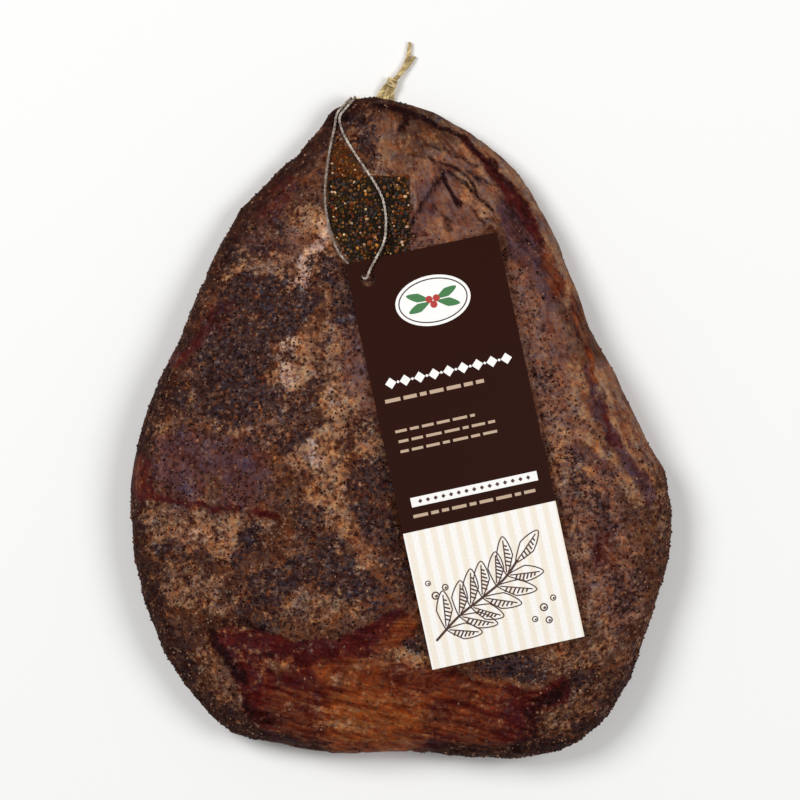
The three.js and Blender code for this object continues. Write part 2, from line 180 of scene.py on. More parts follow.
def face_height(x, y):
    """The face's height over points of the footprint."""
    x, y = np.asarray(x, float), np.asarray(y, float)
    angle = np.degrees(np.arctan2(y - HUB[1], x - HUB[0])) % 360
    reach = outline_radius(angle)
    share = np.minimum(1, np.hypot(x - HUB[0], y - HUB[1]) / reach)
    thickness = THICKNESS + (NARROW_THICKNESS - THICKNESS) * smooth(TAPER_FROM_Y, TAPER_TO_Y, y)
    rim = rim_height(y)
    crown = np.sqrt(1 - share**CROWN_POWER)
    return rim + (thickness - rim + relief(x, y, angle, (1 - share) * reach)) * crown


def slab_points(directions):
    """The slab's points for directions of the unit sphere, and each one's share of the way out."""
    polar = np.degrees(np.arccos(np.clip(directions[:, 2], -1, 1)))
    turn = np.arctan2(directions[:, 1], directions[:, 0])
    reach = outline_radius(np.degrees(turn))
    t = polar / TOP_SPAN
    bend = np.pi / 2 * np.clip((polar - TOP_SPAN) / SIDE_SPAN, 0, 1)
    on_top, on_side = polar <= TOP_SPAN, polar <= TOP_SPAN + SIDE_SPAN
    under = FOOT_SHARE * (180 - polar) / (180 - TOP_SPAN - SIDE_SPAN)
    share = np.where(on_top, np.sin(np.pi / 2 * (0.8 * t + 0.2 * t**3)),
                     np.where(on_side, FOOT_SHARE + (1 - FOOT_SHARE) * np.cos(bend), under))
    x, y = HUB[0] + share * reach * np.cos(turn), HUB[1] + share * reach * np.sin(turn)
    wall = rim_height(HUB[1] + reach * np.sin(turn)) * (1 - np.sin(bend))
    z = np.where(on_top, face_height(x, y), np.where(on_side, wall, 0))
    return np.stack([x, y, z], 1), share


# The card tag, in its own place: across and up from its middle, in millimetres.

TAG_WIDTH, TAG_LENGTH, TAG_THICKNESS = 63.3, 168.5, 0.5
TAG_MIDDLE, TAG_TURN = (26.5, -9.4), math.radians(12.2)
TAG_BOW, TAG_LIFT, TAG_LEAN = 5.6, 1.2, 2.0
TAG_CURL_FROM, TAG_CURL_DROP = 0.35, 3.4
TAG_CLEAR = 0.4
TAG_SAMPLE = 3.0
HOLE_RADIUS = 3.0
HOLE = (7.9 - TAG_WIDTH / 2, TAG_LENGTH / 2 - 7.9)


def tag_place(across, up):
    """From a place on the card to the part's frame, seen from above."""
    c, s = math.cos(TAG_TURN), math.sin(TAG_TURN)
    return TAG_MIDDLE[0] + across * c - up * s, TAG_MIDDLE[1] + across * s + up * c


def on_tag(x, y):
    c, s = math.cos(TAG_TURN), math.sin(TAG_TURN)
    dx, dy = x - TAG_MIDDLE[0], y - TAG_MIDDLE[1]
    return dx * c + dy * s, dy * c - dx * s


def tag_bend(across, up):
    s, t = across / (TAG_WIDTH / 2), up / (TAG_LENGTH / 2)
    curled = np.maximum(0, (t - TAG_CURL_FROM) / (1 - TAG_CURL_FROM))
    return -TAG_BOW * t * t - TAG_LIFT * t - TAG_LEAN * s - TAG_CURL_DROP * curled**2


def tag_rest():
    """The height that the card's underside rests at, so that it just clears the meat."""
    ups = np.arange(-TAG_LENGTH / 2, TAG_LENGTH / 2 + 1e-9, TAG_SAMPLE)
    acrosses = np.arange(-TAG_WIDTH / 2, TAG_WIDTH / 2 + 1e-9, TAG_SAMPLE)
    across, up = np.meshgrid(acrosses, ups)
    return float((face_height(*tag_place(across, up)) - tag_bend(across, up)).max()) + TAG_CLEAR


TAG_REST = tag_rest()


def tag_underside(x, y):
    return TAG_REST + tag_bend(*on_tag(x, y))


def covered_by_tag(x, y, margin):
    across, up = on_tag(np.asarray(x), np.asarray(y))
    return (np.abs(across) < TAG_WIDTH / 2 + margin) & (np.abs(up) < TAG_LENGTH / 2 + margin)


# The routes of the string and the twine, as in the part's source.

STRING_DIAMETER, STRING_CLEAR = 1.2, 0.45
BALL_SHARES, BALL_TURNS = (0, 0.25, 0.5, 0.7, 0.85, 0.95, 1), 24
LEFT_STRAND = [
    (-20.2, 135.7), (-21.9, 134), (-23.7, 131.9), (-25.3, 130), (-26.2, 127.2), (-26.7, 123.6), (-28.1, 117),
    (-29.6, 107.5), (-30.5, 98), (-30.4, 91.5), (-29.4, 84.6), (-27.8, 78.6), (-24.7, 71.2), (-21.4, 67.2),
]
BY_HOLE = [  # from the hole, and above the card's underside
    (-5, 3.4, -1.1), (-2.6, 1.2, -1.15), (-0.8, 0.3, 0), (0, 1.8, 1.4), (1.2, 4.6, 1.7), (2.7, 7.5, 1.8),
    (4, 9.9, 2),
]
RIGHT_STRAND = [
    (-6.9, 74), (-5.9, 77.6), (-5.6, 80.6), (-5.6, 86), (-7, 93.8), (-10.2, 100.1), (-14.4, 106.5),
    (-19.9, 114.9), (-22.2, 118.9), (-23.4, 121.6), (-24.3, 124.3), (-24.7, 126.9), (-24, 129.2),
    (-22.6, 130.9), (-21.2, 132.6), (-19.6, 134.3), (-18.5, 136.1),
]
LEFT_END = [(-20, 134.8, 4), (-20.2, 135.6, 5.8), (-20.2, 136, 7.7)]
RIGHT_END = [(-18.4, 136.4, 7.7), (-18.4, 136.1, 5.8), (-18.3, 135.2, 4)]
TWINE_KNOT_AT = (-3.2, 142.5, 2.9)
TWINE_STRANDS = [
    [(-22.4, 131.4, 1.4), (-21.4, 134.3, 1.3), (-18.6, 135.7, 1.3), (-14.8, 135.2, 1.3), (-11.6, 134.8, 1.3),
     (-9.4, 136.1, 1.6), (-7.6, 138.7, 2.3), (-5.8, 141.2, 2.8), (-3.3, 143.3, 2.9), (-1.1, 145.1, 2.5),
     (0.6, 147.3, 2.1), (2, 149.6, 1.7), (3.2, 152.2, 1.4), (3.9, 155, 1.2), (4.2, 157.4, 1.2),
     (4.3, 159.6, 1.2)],
    [(6.6, 130.2, 1.2), (3.6, 131, 1.2), (0.6, 132, 1.2), (-1.9, 133.7, 1.3), (-3.1, 136, 1.7),
     (-3, 138.8, 2.3), (-2.5, 141.6, 2.8), (-1.5, 144, 2.8), (0.2, 146.2, 2.3), (1.9, 148.2, 1.8),
     (3.6, 150.2, 1.4), (5, 151.9, 1.25), (6.4, 153.7, 1.2)],
    [(-7.6, 132.6, 1.25), (-6.6, 135.2, 1.6), (-5.7, 137.8, 2.1), (-4.9, 140.2, 2.6), (-3.7, 142.4, 2.9)],
]
# Finer strands that fill the fan of the tie, only here.
TWINE_FILLERS = [
    [(-8.7, 133.6, 1.2), (-8.1, 136.4, 1.6), (-6.7, 139.3, 2.2), (-4.4, 142, 2.7)],
    [(-5.7, 133.2, 1.2), (-4.9, 136.2, 1.6), (-4.3, 139.3, 2.2), (-3.4, 142, 2.7)],
]


def string_over(x, y):
    """The string's middle over a point of the face: a ball there clears the slab all round."""
    ball = STRING_DIAMETER / 2 + STRING_CLEAR
    share, turn = np.meshgrid(BALL_SHARES, np.arange(BALL_TURNS) * 2 * np.pi / BALL_TURNS)
    px, py = x + ball * share * np.cos(turn), y + ball * share * np.sin(turn)
    reach = outline_radius(np.degrees(np.arctan2(py - HUB[1], px - HUB[0])))
    beyond = np.hypot(px - HUB[0], py - HUB[1]) > reach
    heights = np.where(beyond, -np.inf, face_height(px, py) + ball * np.sqrt(1 - share**2))
    return (x, y, float(heights.max()))


def string_route():
    hole_x, hole_y = tag_place(*HOLE)
    by_hole = [(hole_x + dx, hole_y + dy, float(tag_underside(hole_x + dx, hole_y + dy)) + rise)
               for dx, dy, rise in BY_HOLE]
    return (LEFT_END + [string_over(x, y) for x, y in LEFT_STRAND] + by_hole
            + [string_over(x, y) for x, y in RIGHT_STRAND] + RIGHT_END)


def string_on_face():
    """The string's route seen from above."""
    return [tuple(p[:2]) for p in string_route()]


def run_along(points):
    """How far along a route each of its points lies."""
    return np.concatenate([[0], np.cumsum(np.linalg.norm(np.diff(points, axis=0), axis=1))])


def along_route(points, step):
    """Even steps along a smooth curve through the points (a centripetal Catmull-Rom spline)."""
    p = [np.array(q, float) for q in points]
    p = [2 * p[0] - p[1]] + p + [2 * p[-1] - p[-2]]
    fine = []
    for a, b, c, d in zip(p, p[1:], p[2:], p[3:]):
        ta, tb, tc = (max(1e-6, np.linalg.norm(v - u)) ** 0.5 for u, v in ((a, b), (b, c), (c, d)))
        out = ((b - a) / ta - (c - a) / (ta + tb) + (c - b) / tb) * tb
        into = ((c - b) / tb - (d - b) / (tb + tc) + (d - c) / tc) * tb
        for t in np.linspace(0, 1, 12, endpoint=False):
            blend = 3 * t**2 - 2 * t**3
            fine.append(b * (1 - blend) + c * blend + out * (t**3 - 2 * t**2 + t) + into * (t**3 - t**2))
    fine = np.array(fine + [p[-2]])
    run = run_along(fine)
    places = np.linspace(0, run[-1], max(2, int(round(run[-1] / step))) + 1)
    return np.stack([np.interp(places, run, fine[:, k]) for k in range(3)], 1)


def route_length(points):
    return float(np.linalg.norm(np.diff(points, axis=0), axis=1).sum())


# Helpers for nodes, pieces and cords.


# The setting that plain text stands for, by kind of node.
MAIN_SETTING = {
    "Math": "operation", "VectorMath": "operation", "Mix": "data_type", "MapRange": "interpolation_type",
    "Attribute": "attribute_name", "UVMap": "uv_map",
}


def feed(tree, node, inputs):
    """Sets a node's inputs to values, or links them to sockets. Another node stands for its first output."""
    for name, value in inputs.items():
        socket = node.inputs[name]
        if isinstance(value, bpy.types.Node):
            value = value.outputs[0]
        if isinstance(value, bpy.types.NodeSocket):
            tree.links.new(value, socket)
        elif hasattr(value, "__len__"):
            socket.default_value = value[: len(socket.default_value)]  # a vector takes no opacity
        else:
            socket.default_value = value


def add(tree, kind, settings=None, inputs=None):
    """Adds a node to a material, with its settings by name or its main one as text, and its inputs."""
    made = tree.nodes.new("ShaderNode" + kind)
    if isinstance(settings, str):
        settings = {MAIN_SETTING[kind]: settings}
    for name, value in (settings or {}).items():
        setattr(made, name, value)
    feed(tree, made, inputs or {})
    return made


def new_material(name):
    """An empty material with its shader and output, and its object coordinates."""
    material = bpy.data.materials.new(name)
    material.use_nodes = True
    tree = material.node_tree
    tree.nodes.clear()
    shader = add(tree, "BsdfPrincipled")
    add(tree, "OutputMaterial", inputs={"Surface": shader})
    place = add(tree, "TexCoord").outputs["Object"]
    return material, tree, shader, place


def per_mm(size):
    """A texture's scale for features of this size in millimetres, on coordinates in metres."""
    return 1 / (size * MM)


def mesh_of(name, bm):
    """A mesh from a bmesh, which is used up."""
    mesh = bpy.data.meshes.new(name)
    bm.to_mesh(mesh)
    bm.free()
    return mesh


def places_of(mesh):
    """A piece's vertices in millimetres."""
    places = np.empty(len(mesh.vertices) * 3)
    mesh.vertices.foreach_get("co", places)
    return places.reshape(-1, 3) / MM


def mark(mesh, name, values):
    """Stores a number or a vector for each vertex, for the materials."""
    values = np.asarray(values, np.float32)
    kind, key = ("FLOAT", "value") if values.ndim == 1 else ("FLOAT_VECTOR", "vector")
    mesh.attributes.new(name, kind, "POINT").data.foreach_set(key, values.ravel())


def finish_piece(name, mesh, materials, stands_for=(), flat=False):
    """Turns a mesh in millimetres into a piece in metres that rides on the body."""
    mesh.transform(Matrix.Scale(MM, 4))
    mesh.polygons.foreach_set("use_smooth", [not flat] * len(mesh.polygons))
    for material in materials:
        mesh.materials.append(material)
    mesh.update()
    piece = bpy.data.objects.new(name, mesh)
    bpy.context.scene.collection.objects.link(piece)
    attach(piece, BODY)
    if stands_for:
        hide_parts(*stands_for)
    return piece


def units(vectors):
    return vectors / np.linalg.norm(vectors, axis=1)[:, None]


def frames_along(points):
    """Two directions across the route at each point, turned as little as possible from one to the next."""
    ahead = units(np.gradient(points, axis=0))
    across = np.cross(ahead[0], (0.3, 0.2, 1.0))
    sides = []
    for direction in ahead:
        across = across - direction * across.dot(direction)
        across /= np.linalg.norm(across)
        sides.append(across.copy())
    sides = np.array(sides)
    return sides, np.cross(ahead, sides)


def tube_into(bm, points, radii, sides=6):
    """Adds a closed round tube along the points, in millimetres, to the bmesh."""
    curve = bpy.data.curves.new("route", "CURVE")
    curve.dimensions = "3D"
    curve.bevel_depth = 1.0
    curve.bevel_resolution = max(0, sides // 2 - 2)
    curve.use_fill_caps = True
    spline = curve.splines.new("POLY")
    spline.points.add(len(points) - 1)
    spline.points.foreach_set("co", np.concatenate([points, np.ones((len(points), 1))], 1).ravel())
    spline.points.foreach_set("radius", np.broadcast_to(radii, len(points)).astype(float))
    holder = bpy.data.objects.new("route", curve)
    mesh = bpy.data.meshes.new_from_object(holder)
    bm.from_mesh(mesh)
    bpy.data.objects.remove(holder)
    bpy.data.curves.remove(curve)
    bpy.data.meshes.remove(mesh)


def ply_into(bm, points, plies, offset, radius, pitch, taper=None, sides=6):
    """Adds a twisted cord: plies wound round the route, one turn per pitch, each with its own shade."""
    run = run_along(points)
    side, up = frames_along(points)
    size = np.ones(len(points)) if taper is None else taper
    ends = [len(bm.verts)]
    for ply in range(plies):
        turn = 2 * np.pi * (run / pitch + ply / plies)
        round_it = np.cos(turn)[:, None] * side + np.sin(turn)[:, None] * up
        wound = points + (offset * size)[:, None] * round_it
        tube_into(bm, wound, radius * size, sides)
        ends.append(len(bm.verts))
    layer = bm.verts.layers.float.get("ply") or bm.verts.layers.float.new("ply")
    verts = bm.verts[:]
    for ply, (first, last) in enumerate(zip(ends, ends[1:])):
        for vert in verts[first:last]:
            vert[layer] = ply / (plies - 1)


# Sizes and colours that a user would change.


class CheekSizes(bpy.types.PropertyGroup):
    relief_height: FloatProperty(
        name="Fine relief", description="Height of the wrinkles and lumps that are finer than the frame's",
        default=0.55 * MM, min=0, max=2 * MM, unit="LENGTH")
    cells: IntProperty(
        name="Mesh cells", description="Mesh cells along each edge of the cube that the slab is rounded from",
        default=128, min=24, max=128)
    dark_count: IntProperty(
        name="Dark ground pepper", description="Number of dark grains of ground pepper",
        default=5600, min=0, max=9900)
    brown_count: IntProperty(
        name="Brown ground pepper", description="Number of brown grains of ground pepper",
        default=4600, min=0, max=9900)
    ground_radius: FloatProperty(
        name="Ground grain radius", description="Largest radius of a grain of ground pepper",
        default=0.82 * MM, min=0.2 * MM, max=1 * MM, unit="LENGTH")
    crumb_pitch: FloatProperty(
        name="Cracked pepper pitch", description="Distance between the small pieces of cracked pepper",
        default=1.5 * MM, min=1 * MM, max=4 * MM, unit="LENGTH")


def colour(name, description, hex_colour):
    return FloatVectorProperty(name=name, description=description, default=linear(hex_colour),
                               subtype="COLOR", size=4, min=0, max=1)


class CheekColours(bpy.types.PropertyGroup):
    fat: colour("Cured fat", "Tan of the dried outer fat", "#633f2e")
    fat_brown: colour("Browned fat", "Browner fat between the tan patches", "#4a2b1d")
    rosy: colour("Rosy fat", "Pinker fat of the narrow end and the right side", "#764f41")
    pale_fat: colour("Bare fat", "Fat where the rub is thin", "#91684d")
    cream: colour("Cream fat", "Clean fat in the lightest spots", "#b28e7c")
    rim: colour("Rolled rim", "Brown of the rind's rolled rim", "#7a5947")
    lean: colour("Dry lean", "Purple brown of the dried lean", "#4f3031")
    # Painted grey sheen on the smooth lean, with some bloom.
    bloom: colour("Lean bloom", "Grey bloom on the dried lean", "#624749")
    crust: colour("Crust", "Dark crust where the rub is thick", "#3d2927")
    black_grain: colour("Black grain", "Nearly black specks of the crust", "#1c1316")
    rust_grain: colour("Rust grain", "Red brown grains of the crust", "#633821")
    slate_grain: colour("Slate grain", "Grey grains of the crust", "#453d3e")
    salt_grain: colour("Salt grain", "Pale grains of the crust", "#917669")
    # Painted shade along the edge, together with some browned skin.
    edge: colour("Shaded dried edge", "Painted shade and browned skin along the edge", "#331c16")
    # Also painted shadow, in thin lines under the overlapping flap on the left.
    glaze: colour("Wet lean", "Dark red lean without rub", "#431212")
    amber: colour("Amber lean", "Orange brown of the bared muscle", "#80401d")
    # Painted highlights of the wet muscle's gloss, with light strands.
    sinew: colour("Sinew", "Painted highlights, light strands and salt on the bared muscle", "#9c6542")
    # Painted shade, nearly black, in the folds and creases.
    seam: colour("Seam", "Nearly black painted shade in the folds and creases", "#1f0909")
    rind: colour("Rind", "Leathery rind underneath", "#6a4530")
    speck: colour("Pepper dust", "Darkest specks of the rub", "#2a0f09")
    dark_pepper: colour("Dark pepper", "Skin of a cracked peppercorn", "#241d15")
    olive_pepper: colour("Olive pepper", "Skin of an unripe peppercorn", "#433318")
    slate_pepper: colour("Slate pepper", "Blue black skin of a peppercorn", "#383634")
    purple_pepper: colour("Purple pepper", "Skin stained by the meat", "#4e3733")
    brown_pepper: colour("Brown pepper", "Brown bits of peppercorn", "#7d5730")
    rust_pepper: colour("Rust pepper", "Red brown flakes of the spice rub", "#7d4720")
    pale_pepper: colour("Pale pepper", "Cream inside of a peppercorn", "#dcb98c")
    umber_pepper: colour("Umber pepper", "Darker brown bits of peppercorn", "#4c3018")
    russet_pepper: colour("Russet pepper", "Dark red flakes of the spice rub", "#5c2b14")
    gold_pepper: colour("Golden pepper", "Golden seeds and kernels", "#bb7a35")
    dull_pepper: colour("Dull kernel", "Kernel stained by the meat", "#c39d84")
    patch_ground: colour("Patch ground", "Dust between the cracked grains", "#211811")
    patch_rust: colour("Patch rust", "Rusty dust at the top of the patch", "#4d2e15")
    ground_black: colour("Ground black", "Darker side of the dark ground pepper", "#1c100e")
    ground_maroon: colour("Ground maroon", "Redder side of the dark ground pepper", "#3d211a")
    ground_brown: colour("Ground brown", "Darker side of the brown ground pepper", "#4a2c20")
    ground_tan: colour("Ground tan", "Lighter side of the brown ground pepper", "#84604d")


class TagColours(bpy.types.PropertyGroup):
    brown: colour("Card brown", "Dark brown print", "#2d130c")
    cream: colour("Card cream", "Cream field", "#fbf8f4")
    stripe: colour("Card stripe", "Beige stripes of the cream field", "#f5ebdc")
    paper: colour("Bare card", "Back and cut edges of the card", "#efe8dc")
    white: colour("White ink", "Bar, heading shapes and medallion", "#fbf9f6")
    tan: colour("Tan ink", "Small dashes", "#c3a78d")
    ink: colour("Brown ink", "Drawn leaves and peppercorns", "#4a2b20")
    green: colour("Green ink", "Leaves of the medallion", "#3f7a45")
    red: colour("Red ink", "Berries of the medallion", "#b5322a")


class CordColours(bpy.types.PropertyGroup):
    string: colour("String", "Bleached cotton string", "#e4d8ca")
    soiled: colour("Darker string", "String that is darker, most on the left strand", "#7b6b60")
    straw: colour("Twine", "Straw twine", "#f0d89f")
    # The darker plies paint in part the shade between the twisted plies, in part browner straw.
    straw_dark: colour("Twine shade", "Darker plies of the twine", "#947b4d")


class StageSettings(bpy.types.PropertyGroup):
    floor: colour("Floor", "Pale studio floor", "#f8f8f7")
    key_power: FloatProperty(
        name="Key light", description="Power of the two soft lights together",
        default=55, min=0, unit="POWER")
    fill: FloatProperty(
        name="Fill", description="Strength of the light from all round", default=0.26, min=0, max=2)
    camera_height: FloatProperty(
        name="Camera height", description="Height of the camera over the floor",
        default=2.0, min=0.5, unit="LENGTH")


# The stage.

VIEW_WIDTH = 330.24  # millimetres across the frame, at the height of the rim
VIEW_AT = (0.2, 11.1)
RIM_LEVEL = 12.0
SENSOR = 36.0
FLOOR_HALF, FLOOR_BELOW = 4000, 0.2
# Soft lights to both sides of the camera, so that the card and the lean don't mirror them, in metres.
LIGHTS = [("soft_key_left", (-1.25, 0.75, 1.9), 0.6), ("soft_key_right", (1.3, 0.1, 1.9), 0.4)]
LIGHT_SIZE = 1.1


class CHEEK_OT_stage(bpy.types.Operator):
    """Sets up the floor, the soft light and the camera straight above"""

    bl_idname = "cheek.stage"
    bl_label = "Stage and camera"

    def execute(self, context):
        scene = context.scene
        settings = scene.cheek_stage
        bm = bmesh.new()
        bmesh.ops.create_grid(bm, x_segments=1, y_segments=1, size=FLOOR_HALF)
        bmesh.ops.translate(bm, verts=bm.verts, vec=(0, 0, -FLOOR_BELOW))
        mesh = mesh_of("floor", bm)
        mesh.transform(Matrix.Scale(MM, 4))
        mesh.materials.append(self.floor_material(settings.floor))
        floor = bpy.data.objects.new("floor", mesh)
        scene.collection.objects.link(floor)

        for name, at, share in LIGHTS:
            light = bpy.data.lights.new(name, "AREA")
            light.shape, light.size, light.energy = "DISK", LIGHT_SIZE, settings.key_power * share
            lamp = bpy.data.objects.new(name, light)
            lamp.location = at
            lamp.rotation_euler = Vector(at).to_track_quat("Z", "Y").to_euler()
            scene.collection.objects.link(lamp)

        world = bpy.data.worlds.new("studio")
        world.use_nodes = True
        background = world.node_tree.nodes["Background"]
        background.inputs["Color"].default_value = linear("#ffffff")
        background.inputs["Strength"].default_value = settings.fill
        scene.world = world

        data = bpy.data.cameras.new("overhead")
        data.sensor_width = SENSOR
        data.lens = SENSOR * (settings.camera_height / MM - RIM_LEVEL) / VIEW_WIDTH
        camera = bpy.data.objects.new("overhead", data)
        camera.location = (VIEW_AT[0] * MM, VIEW_AT[1] * MM, settings.camera_height)
        data.clip_start, data.clip_end = 0.01, 100
        scene.collection.objects.link(camera)
        scene.camera = camera
        scene.view_settings.view_transform = "Standard"
        return {"FINISHED"}

    @staticmethod
    def floor_material(pale):
        # Matt emulsion on board, rolled on: plain, with a trace of the roller's unevenness.
        material, tree, shader, place = new_material("matt_emulsion_board")
        cloud = add(tree, "TexNoise", inputs={"Vector": place, "Scale": per_mm(180), "Detail": 2})
        tone = add(tree, "MapRange", inputs={0: cloud, 3: 0.99, 4: 1.0})
        tint = add(tree, "VectorMath", "SCALE", {0: pale, "Scale": tone})
        feed(tree, shader, {"Base Color": tint, "Roughness": 0.9, "Specular IOR Level": 0.1})
        return material


# The string and the twine.

# Number of plies, how far out and how thick each one is, and the length of one turn.
STRING_PLIES, STRING_PLY_OUT, STRING_PLY_RADIUS, STRING_PITCH = 2, 0.27, 0.31, 3.4
TWINE_PLIES, TWINE_PLY_OUT, TWINE_PLY_RADIUS, TWINE_PITCH = 3, 0.47, 0.5, 5.2
CORD_STEP = 0.4
TAIL_SIZE, TAIL_REACH = 0.68, 5  # the tails thin out to this share over this length
FILLER_SIZE = 0.75
KNOT_REACH, KNOT_PULL, KNOT_SQUEEZE = 1.7, 0.55, 0.35  # how far the knot holds the strands, and how much
KNOT_ALONG = (0.5, 0.86, -0.08)
KNOT_TURNS = [  # start, number of turns, length along the twine, half width, half height and lean
    (0.4, 2.3, 3.0, 1.75, 1.6, 0.35), (2.6, 1.2, 0.4, 2.0, 1.75, -0.9),
]
KNOT_PLY_RADIUS, KNOT_STEPS = 0.55, 40
FIBRE_COUNT, FIBRE_STEPS, FIBRE_RADII = 26, (6, 12), (0.1, 0.04)
# How much darker the string is at shares of its length: most on the left strand.
DARKER_ALONG = [(0, 0.15), (0.1, 0.35), (0.2, 0.65), (0.38, 0.55), (0.46, 0.25), (0.6, 0.05), (0.92, 0.15), (1, 0.1)]


def cord_material(name, light, dark, pitch, by_ply):
    # Spun plant fibre: dull, with fine fibres that run along the plies, some plies darker, partly as painted
    # shade of the twist, and darker stretches.
    material, tree, shader, place = new_material(name)
    # The fibres are drawn coarser than real ones.
    fibres = add(tree, "TexNoise", inputs={
        "Vector": place, "Scale": per_mm(0.35), "Detail": 3, "Roughness": 0.6})
    patches = add(tree, "TexNoise", inputs={"Vector": place, "Scale": per_mm(pitch), "Detail": 2})
    both = add(tree, "Math", "MULTIPLY", {0: fibres, 1: patches})
    share = add(tree, "MapRange", "SMOOTHSTEP", {0: both, 1: 0.34, 2: 0.12})
    # Darker plies: partly painted shade of the twist.
    for attribute, much in (("ply", by_ply), ("soiled", 1.0)):
        more = add(tree, "Attribute", attribute).outputs["Fac"]
        share = add(tree, "Math", {"operation": "MULTIPLY_ADD", "use_clamp": True},
                    {0: more, 1: much, 2: share})
    tint = add(tree, "Mix", "RGBA", {0: share, 6: light, 7: dark})
    bump = add(tree, "Bump", inputs={"Height": fibres, "Distance": 0.12 * MM, "Strength": 0.7})
    feed(tree, shader, {"Base Color": tint.outputs[2], "Normal": bump, "Roughness": 0.85, "Sheen Weight": 0.1})
    return material


class CHEEK_OT_tag_string(bpy.types.Operator):
    """Lays the thin string from the twine down the face, through the card and back"""

    bl_idname = "cheek.tag_string"
    bl_label = "Tag string"

    def execute(self, context):
        colours = context.scene.cheek_cords
        centre = along_route(string_route(), CORD_STEP)
        bm = bmesh.new()
        ply_into(bm, centre, STRING_PLIES, STRING_PLY_OUT, STRING_PLY_RADIUS, STRING_PITCH)
        material = cord_material("bleached_cotton_string", colours.string, colours.soiled, STRING_PITCH, 0.15)
        string = finish_piece("tag_string_cord", mesh_of("tag_string_cord", bm), [material],
                              ["tag_string"])
        nearest = np.array([np.argmin(((centre - vert) ** 2).sum(1)) for vert in places_of(string.data)])
        mark(string.data, "soiled", np.interp(nearest / (len(centre) - 1), *zip(*DARKER_ALONG)))
        return {"FINISHED"}


class CHEEK_OT_twine(bpy.types.Operator):
    """Makes the twine tie: a fan of twisted strands, the turns that knot them and two frayed tails"""

    bl_idname = "cheek.twine"
    bl_label = "Hanging twine"

    def execute(self, context):
        colours = context.scene.cheek_cords
        material = cord_material("straw_sisal_twine", colours.straw, colours.straw_dark, TWINE_PITCH, 0.42)
        draw = np.random.default_rng(11)
        for k, route in enumerate(TWINE_STRANDS[:2]):
            centre = along_route(route, CORD_STEP)
            left = route_length(centre) - run_along(centre)
            bm = bmesh.new()
            self.add_strand(bm, centre, TAIL_SIZE + (1 - TAIL_SIZE) * smooth(0, TAIL_REACH, left))
            self.add_fibres(bm, centre, draw)
            name = "hanging_twine_strand_" + "ab"[k]
            piece = finish_piece(name, mesh_of(name, bm), [material], ["hanging_twine"])

        bm = bmesh.new()
        for route, size in zip((TWINE_STRANDS[2], *TWINE_FILLERS), (1.0, FILLER_SIZE, FILLER_SIZE)):
            centre = along_route(route, CORD_STEP)
            self.add_strand(bm, centre, np.full(len(centre), size))
        self.add_turns(bm)
        knot = finish_piece("hanging_twine_knot", mesh_of("hanging_twine_knot", bm), [material],
                            ["hanging_twine"])
        return {"FINISHED"}

    @staticmethod
    def add_strand(bm, centre, size):
        """Adds one twisted strand, squeezed thinner and inwards where the knot's turns hold it."""
        middle = np.array(TWINE_KNOT_AT)
        held = np.exp(-(((centre - middle) ** 2).sum(1) / KNOT_REACH**2))[:, None]
        ahead = units(np.gradient(centre, axis=0))
        inwards = middle - centre
        inwards -= ahead * (inwards * ahead).sum(1)[:, None]
        ply_into(bm, centre + KNOT_PULL * held * inwards, TWINE_PLIES, TWINE_PLY_OUT, TWINE_PLY_RADIUS,
                 TWINE_PITCH, size * (1 - KNOT_SQUEEZE * held[:, 0]))

    @staticmethod
    def add_fibres(bm, centre, draw):
        """Loose fibres that stand off the strand, most of them at its frayed end."""
        side, up = frames_along(centre)
        count = len(centre)
        for _ in range(FIBRE_COUNT):
            start = int(count * draw.uniform(0.15, 0.93) ** 0.6)
            span = int(draw.integers(*FIBRE_STEPS))
            picked = np.arange(start, min(count, start + span))
            if len(picked) < 4:
                continue
            turn = draw.uniform(0, 2 * np.pi)
            out = 0.75 + 0.5 * np.linspace(0, 1, len(picked)) ** 2 * draw.uniform(0.2, 1)
            fibre = centre[picked] + out[:, None] * (np.cos(turn) * side[picked] + np.sin(turn) * up[picked])
            fibre[:, 2] = np.maximum(fibre[:, 2], 0.15)
            tube_into(bm, fibre, np.linspace(*FIBRE_RADII, len(picked)), 4)

    @staticmethod
    def add_turns(bm):
        """The knot: uneven turns of single plies wound round the strands."""
        middle = np.array(TWINE_KNOT_AT)
        along = np.array(KNOT_ALONG)
        along /= np.linalg.norm(along)
        across = np.cross(along, (0, 0, 1.0))
        across /= np.linalg.norm(across)
        up = np.cross(across, along)
        for start, turns, length, wide, tall, lean in KNOT_TURNS:
            turn = np.linspace(start, start + 2 * np.pi * turns, int(KNOT_STEPS * turns))
            uneven = 1 + 0.08 * np.sin(1.3 * turn + 1)
            at = (turn - start) / (turn[-1] - start) - 0.5
            wound = (middle + (wide * uneven * np.cos(turn))[:, None] * across
                     + (tall * uneven * np.sin(turn))[:, None] * up
                     + (at * length + lean * np.cos(turn))[:, None] * along)
            wound[:, 2] = np.maximum(wound[:, 2], KNOT_PLY_RADIUS + 0.05)
            tube_into(bm, wound, KNOT_PLY_RADIUS)


# The meat.

PEPPER_CORNERS = [
    (-27, 116), (-18, 104), (-12, 103), (4, 103), (4.5, 70), (-12, 68), (-22, 74), (-29, 88), (-30, 101),
]
PEPPER_PITCH, PEPPER_JITTER = 3.1, 0.9
PEPPER_LEAST, PEPPER_MOST, PEPPER_SUNK = 0.75, 1.25, 0.35
PEPPER_SEED = 7
# The whole patch: from strand to strand at the top, with rust brown grains down to this line.
PATCH_CORNERS = [
    (-26.2, 119.5), (-22.9, 116.6), (-18.6, 110), (-13.8, 103), (4, 103), (4.5, 70), (-12, 68), (-19.6, 68),
    (-22.5, 71), (-25.8, 76), (-28.3, 82), (-29.2, 88), (-29.4, 98), (-28.4, 108), (-27.1, 116),
]
RUSTY_ABOVE = 102.5
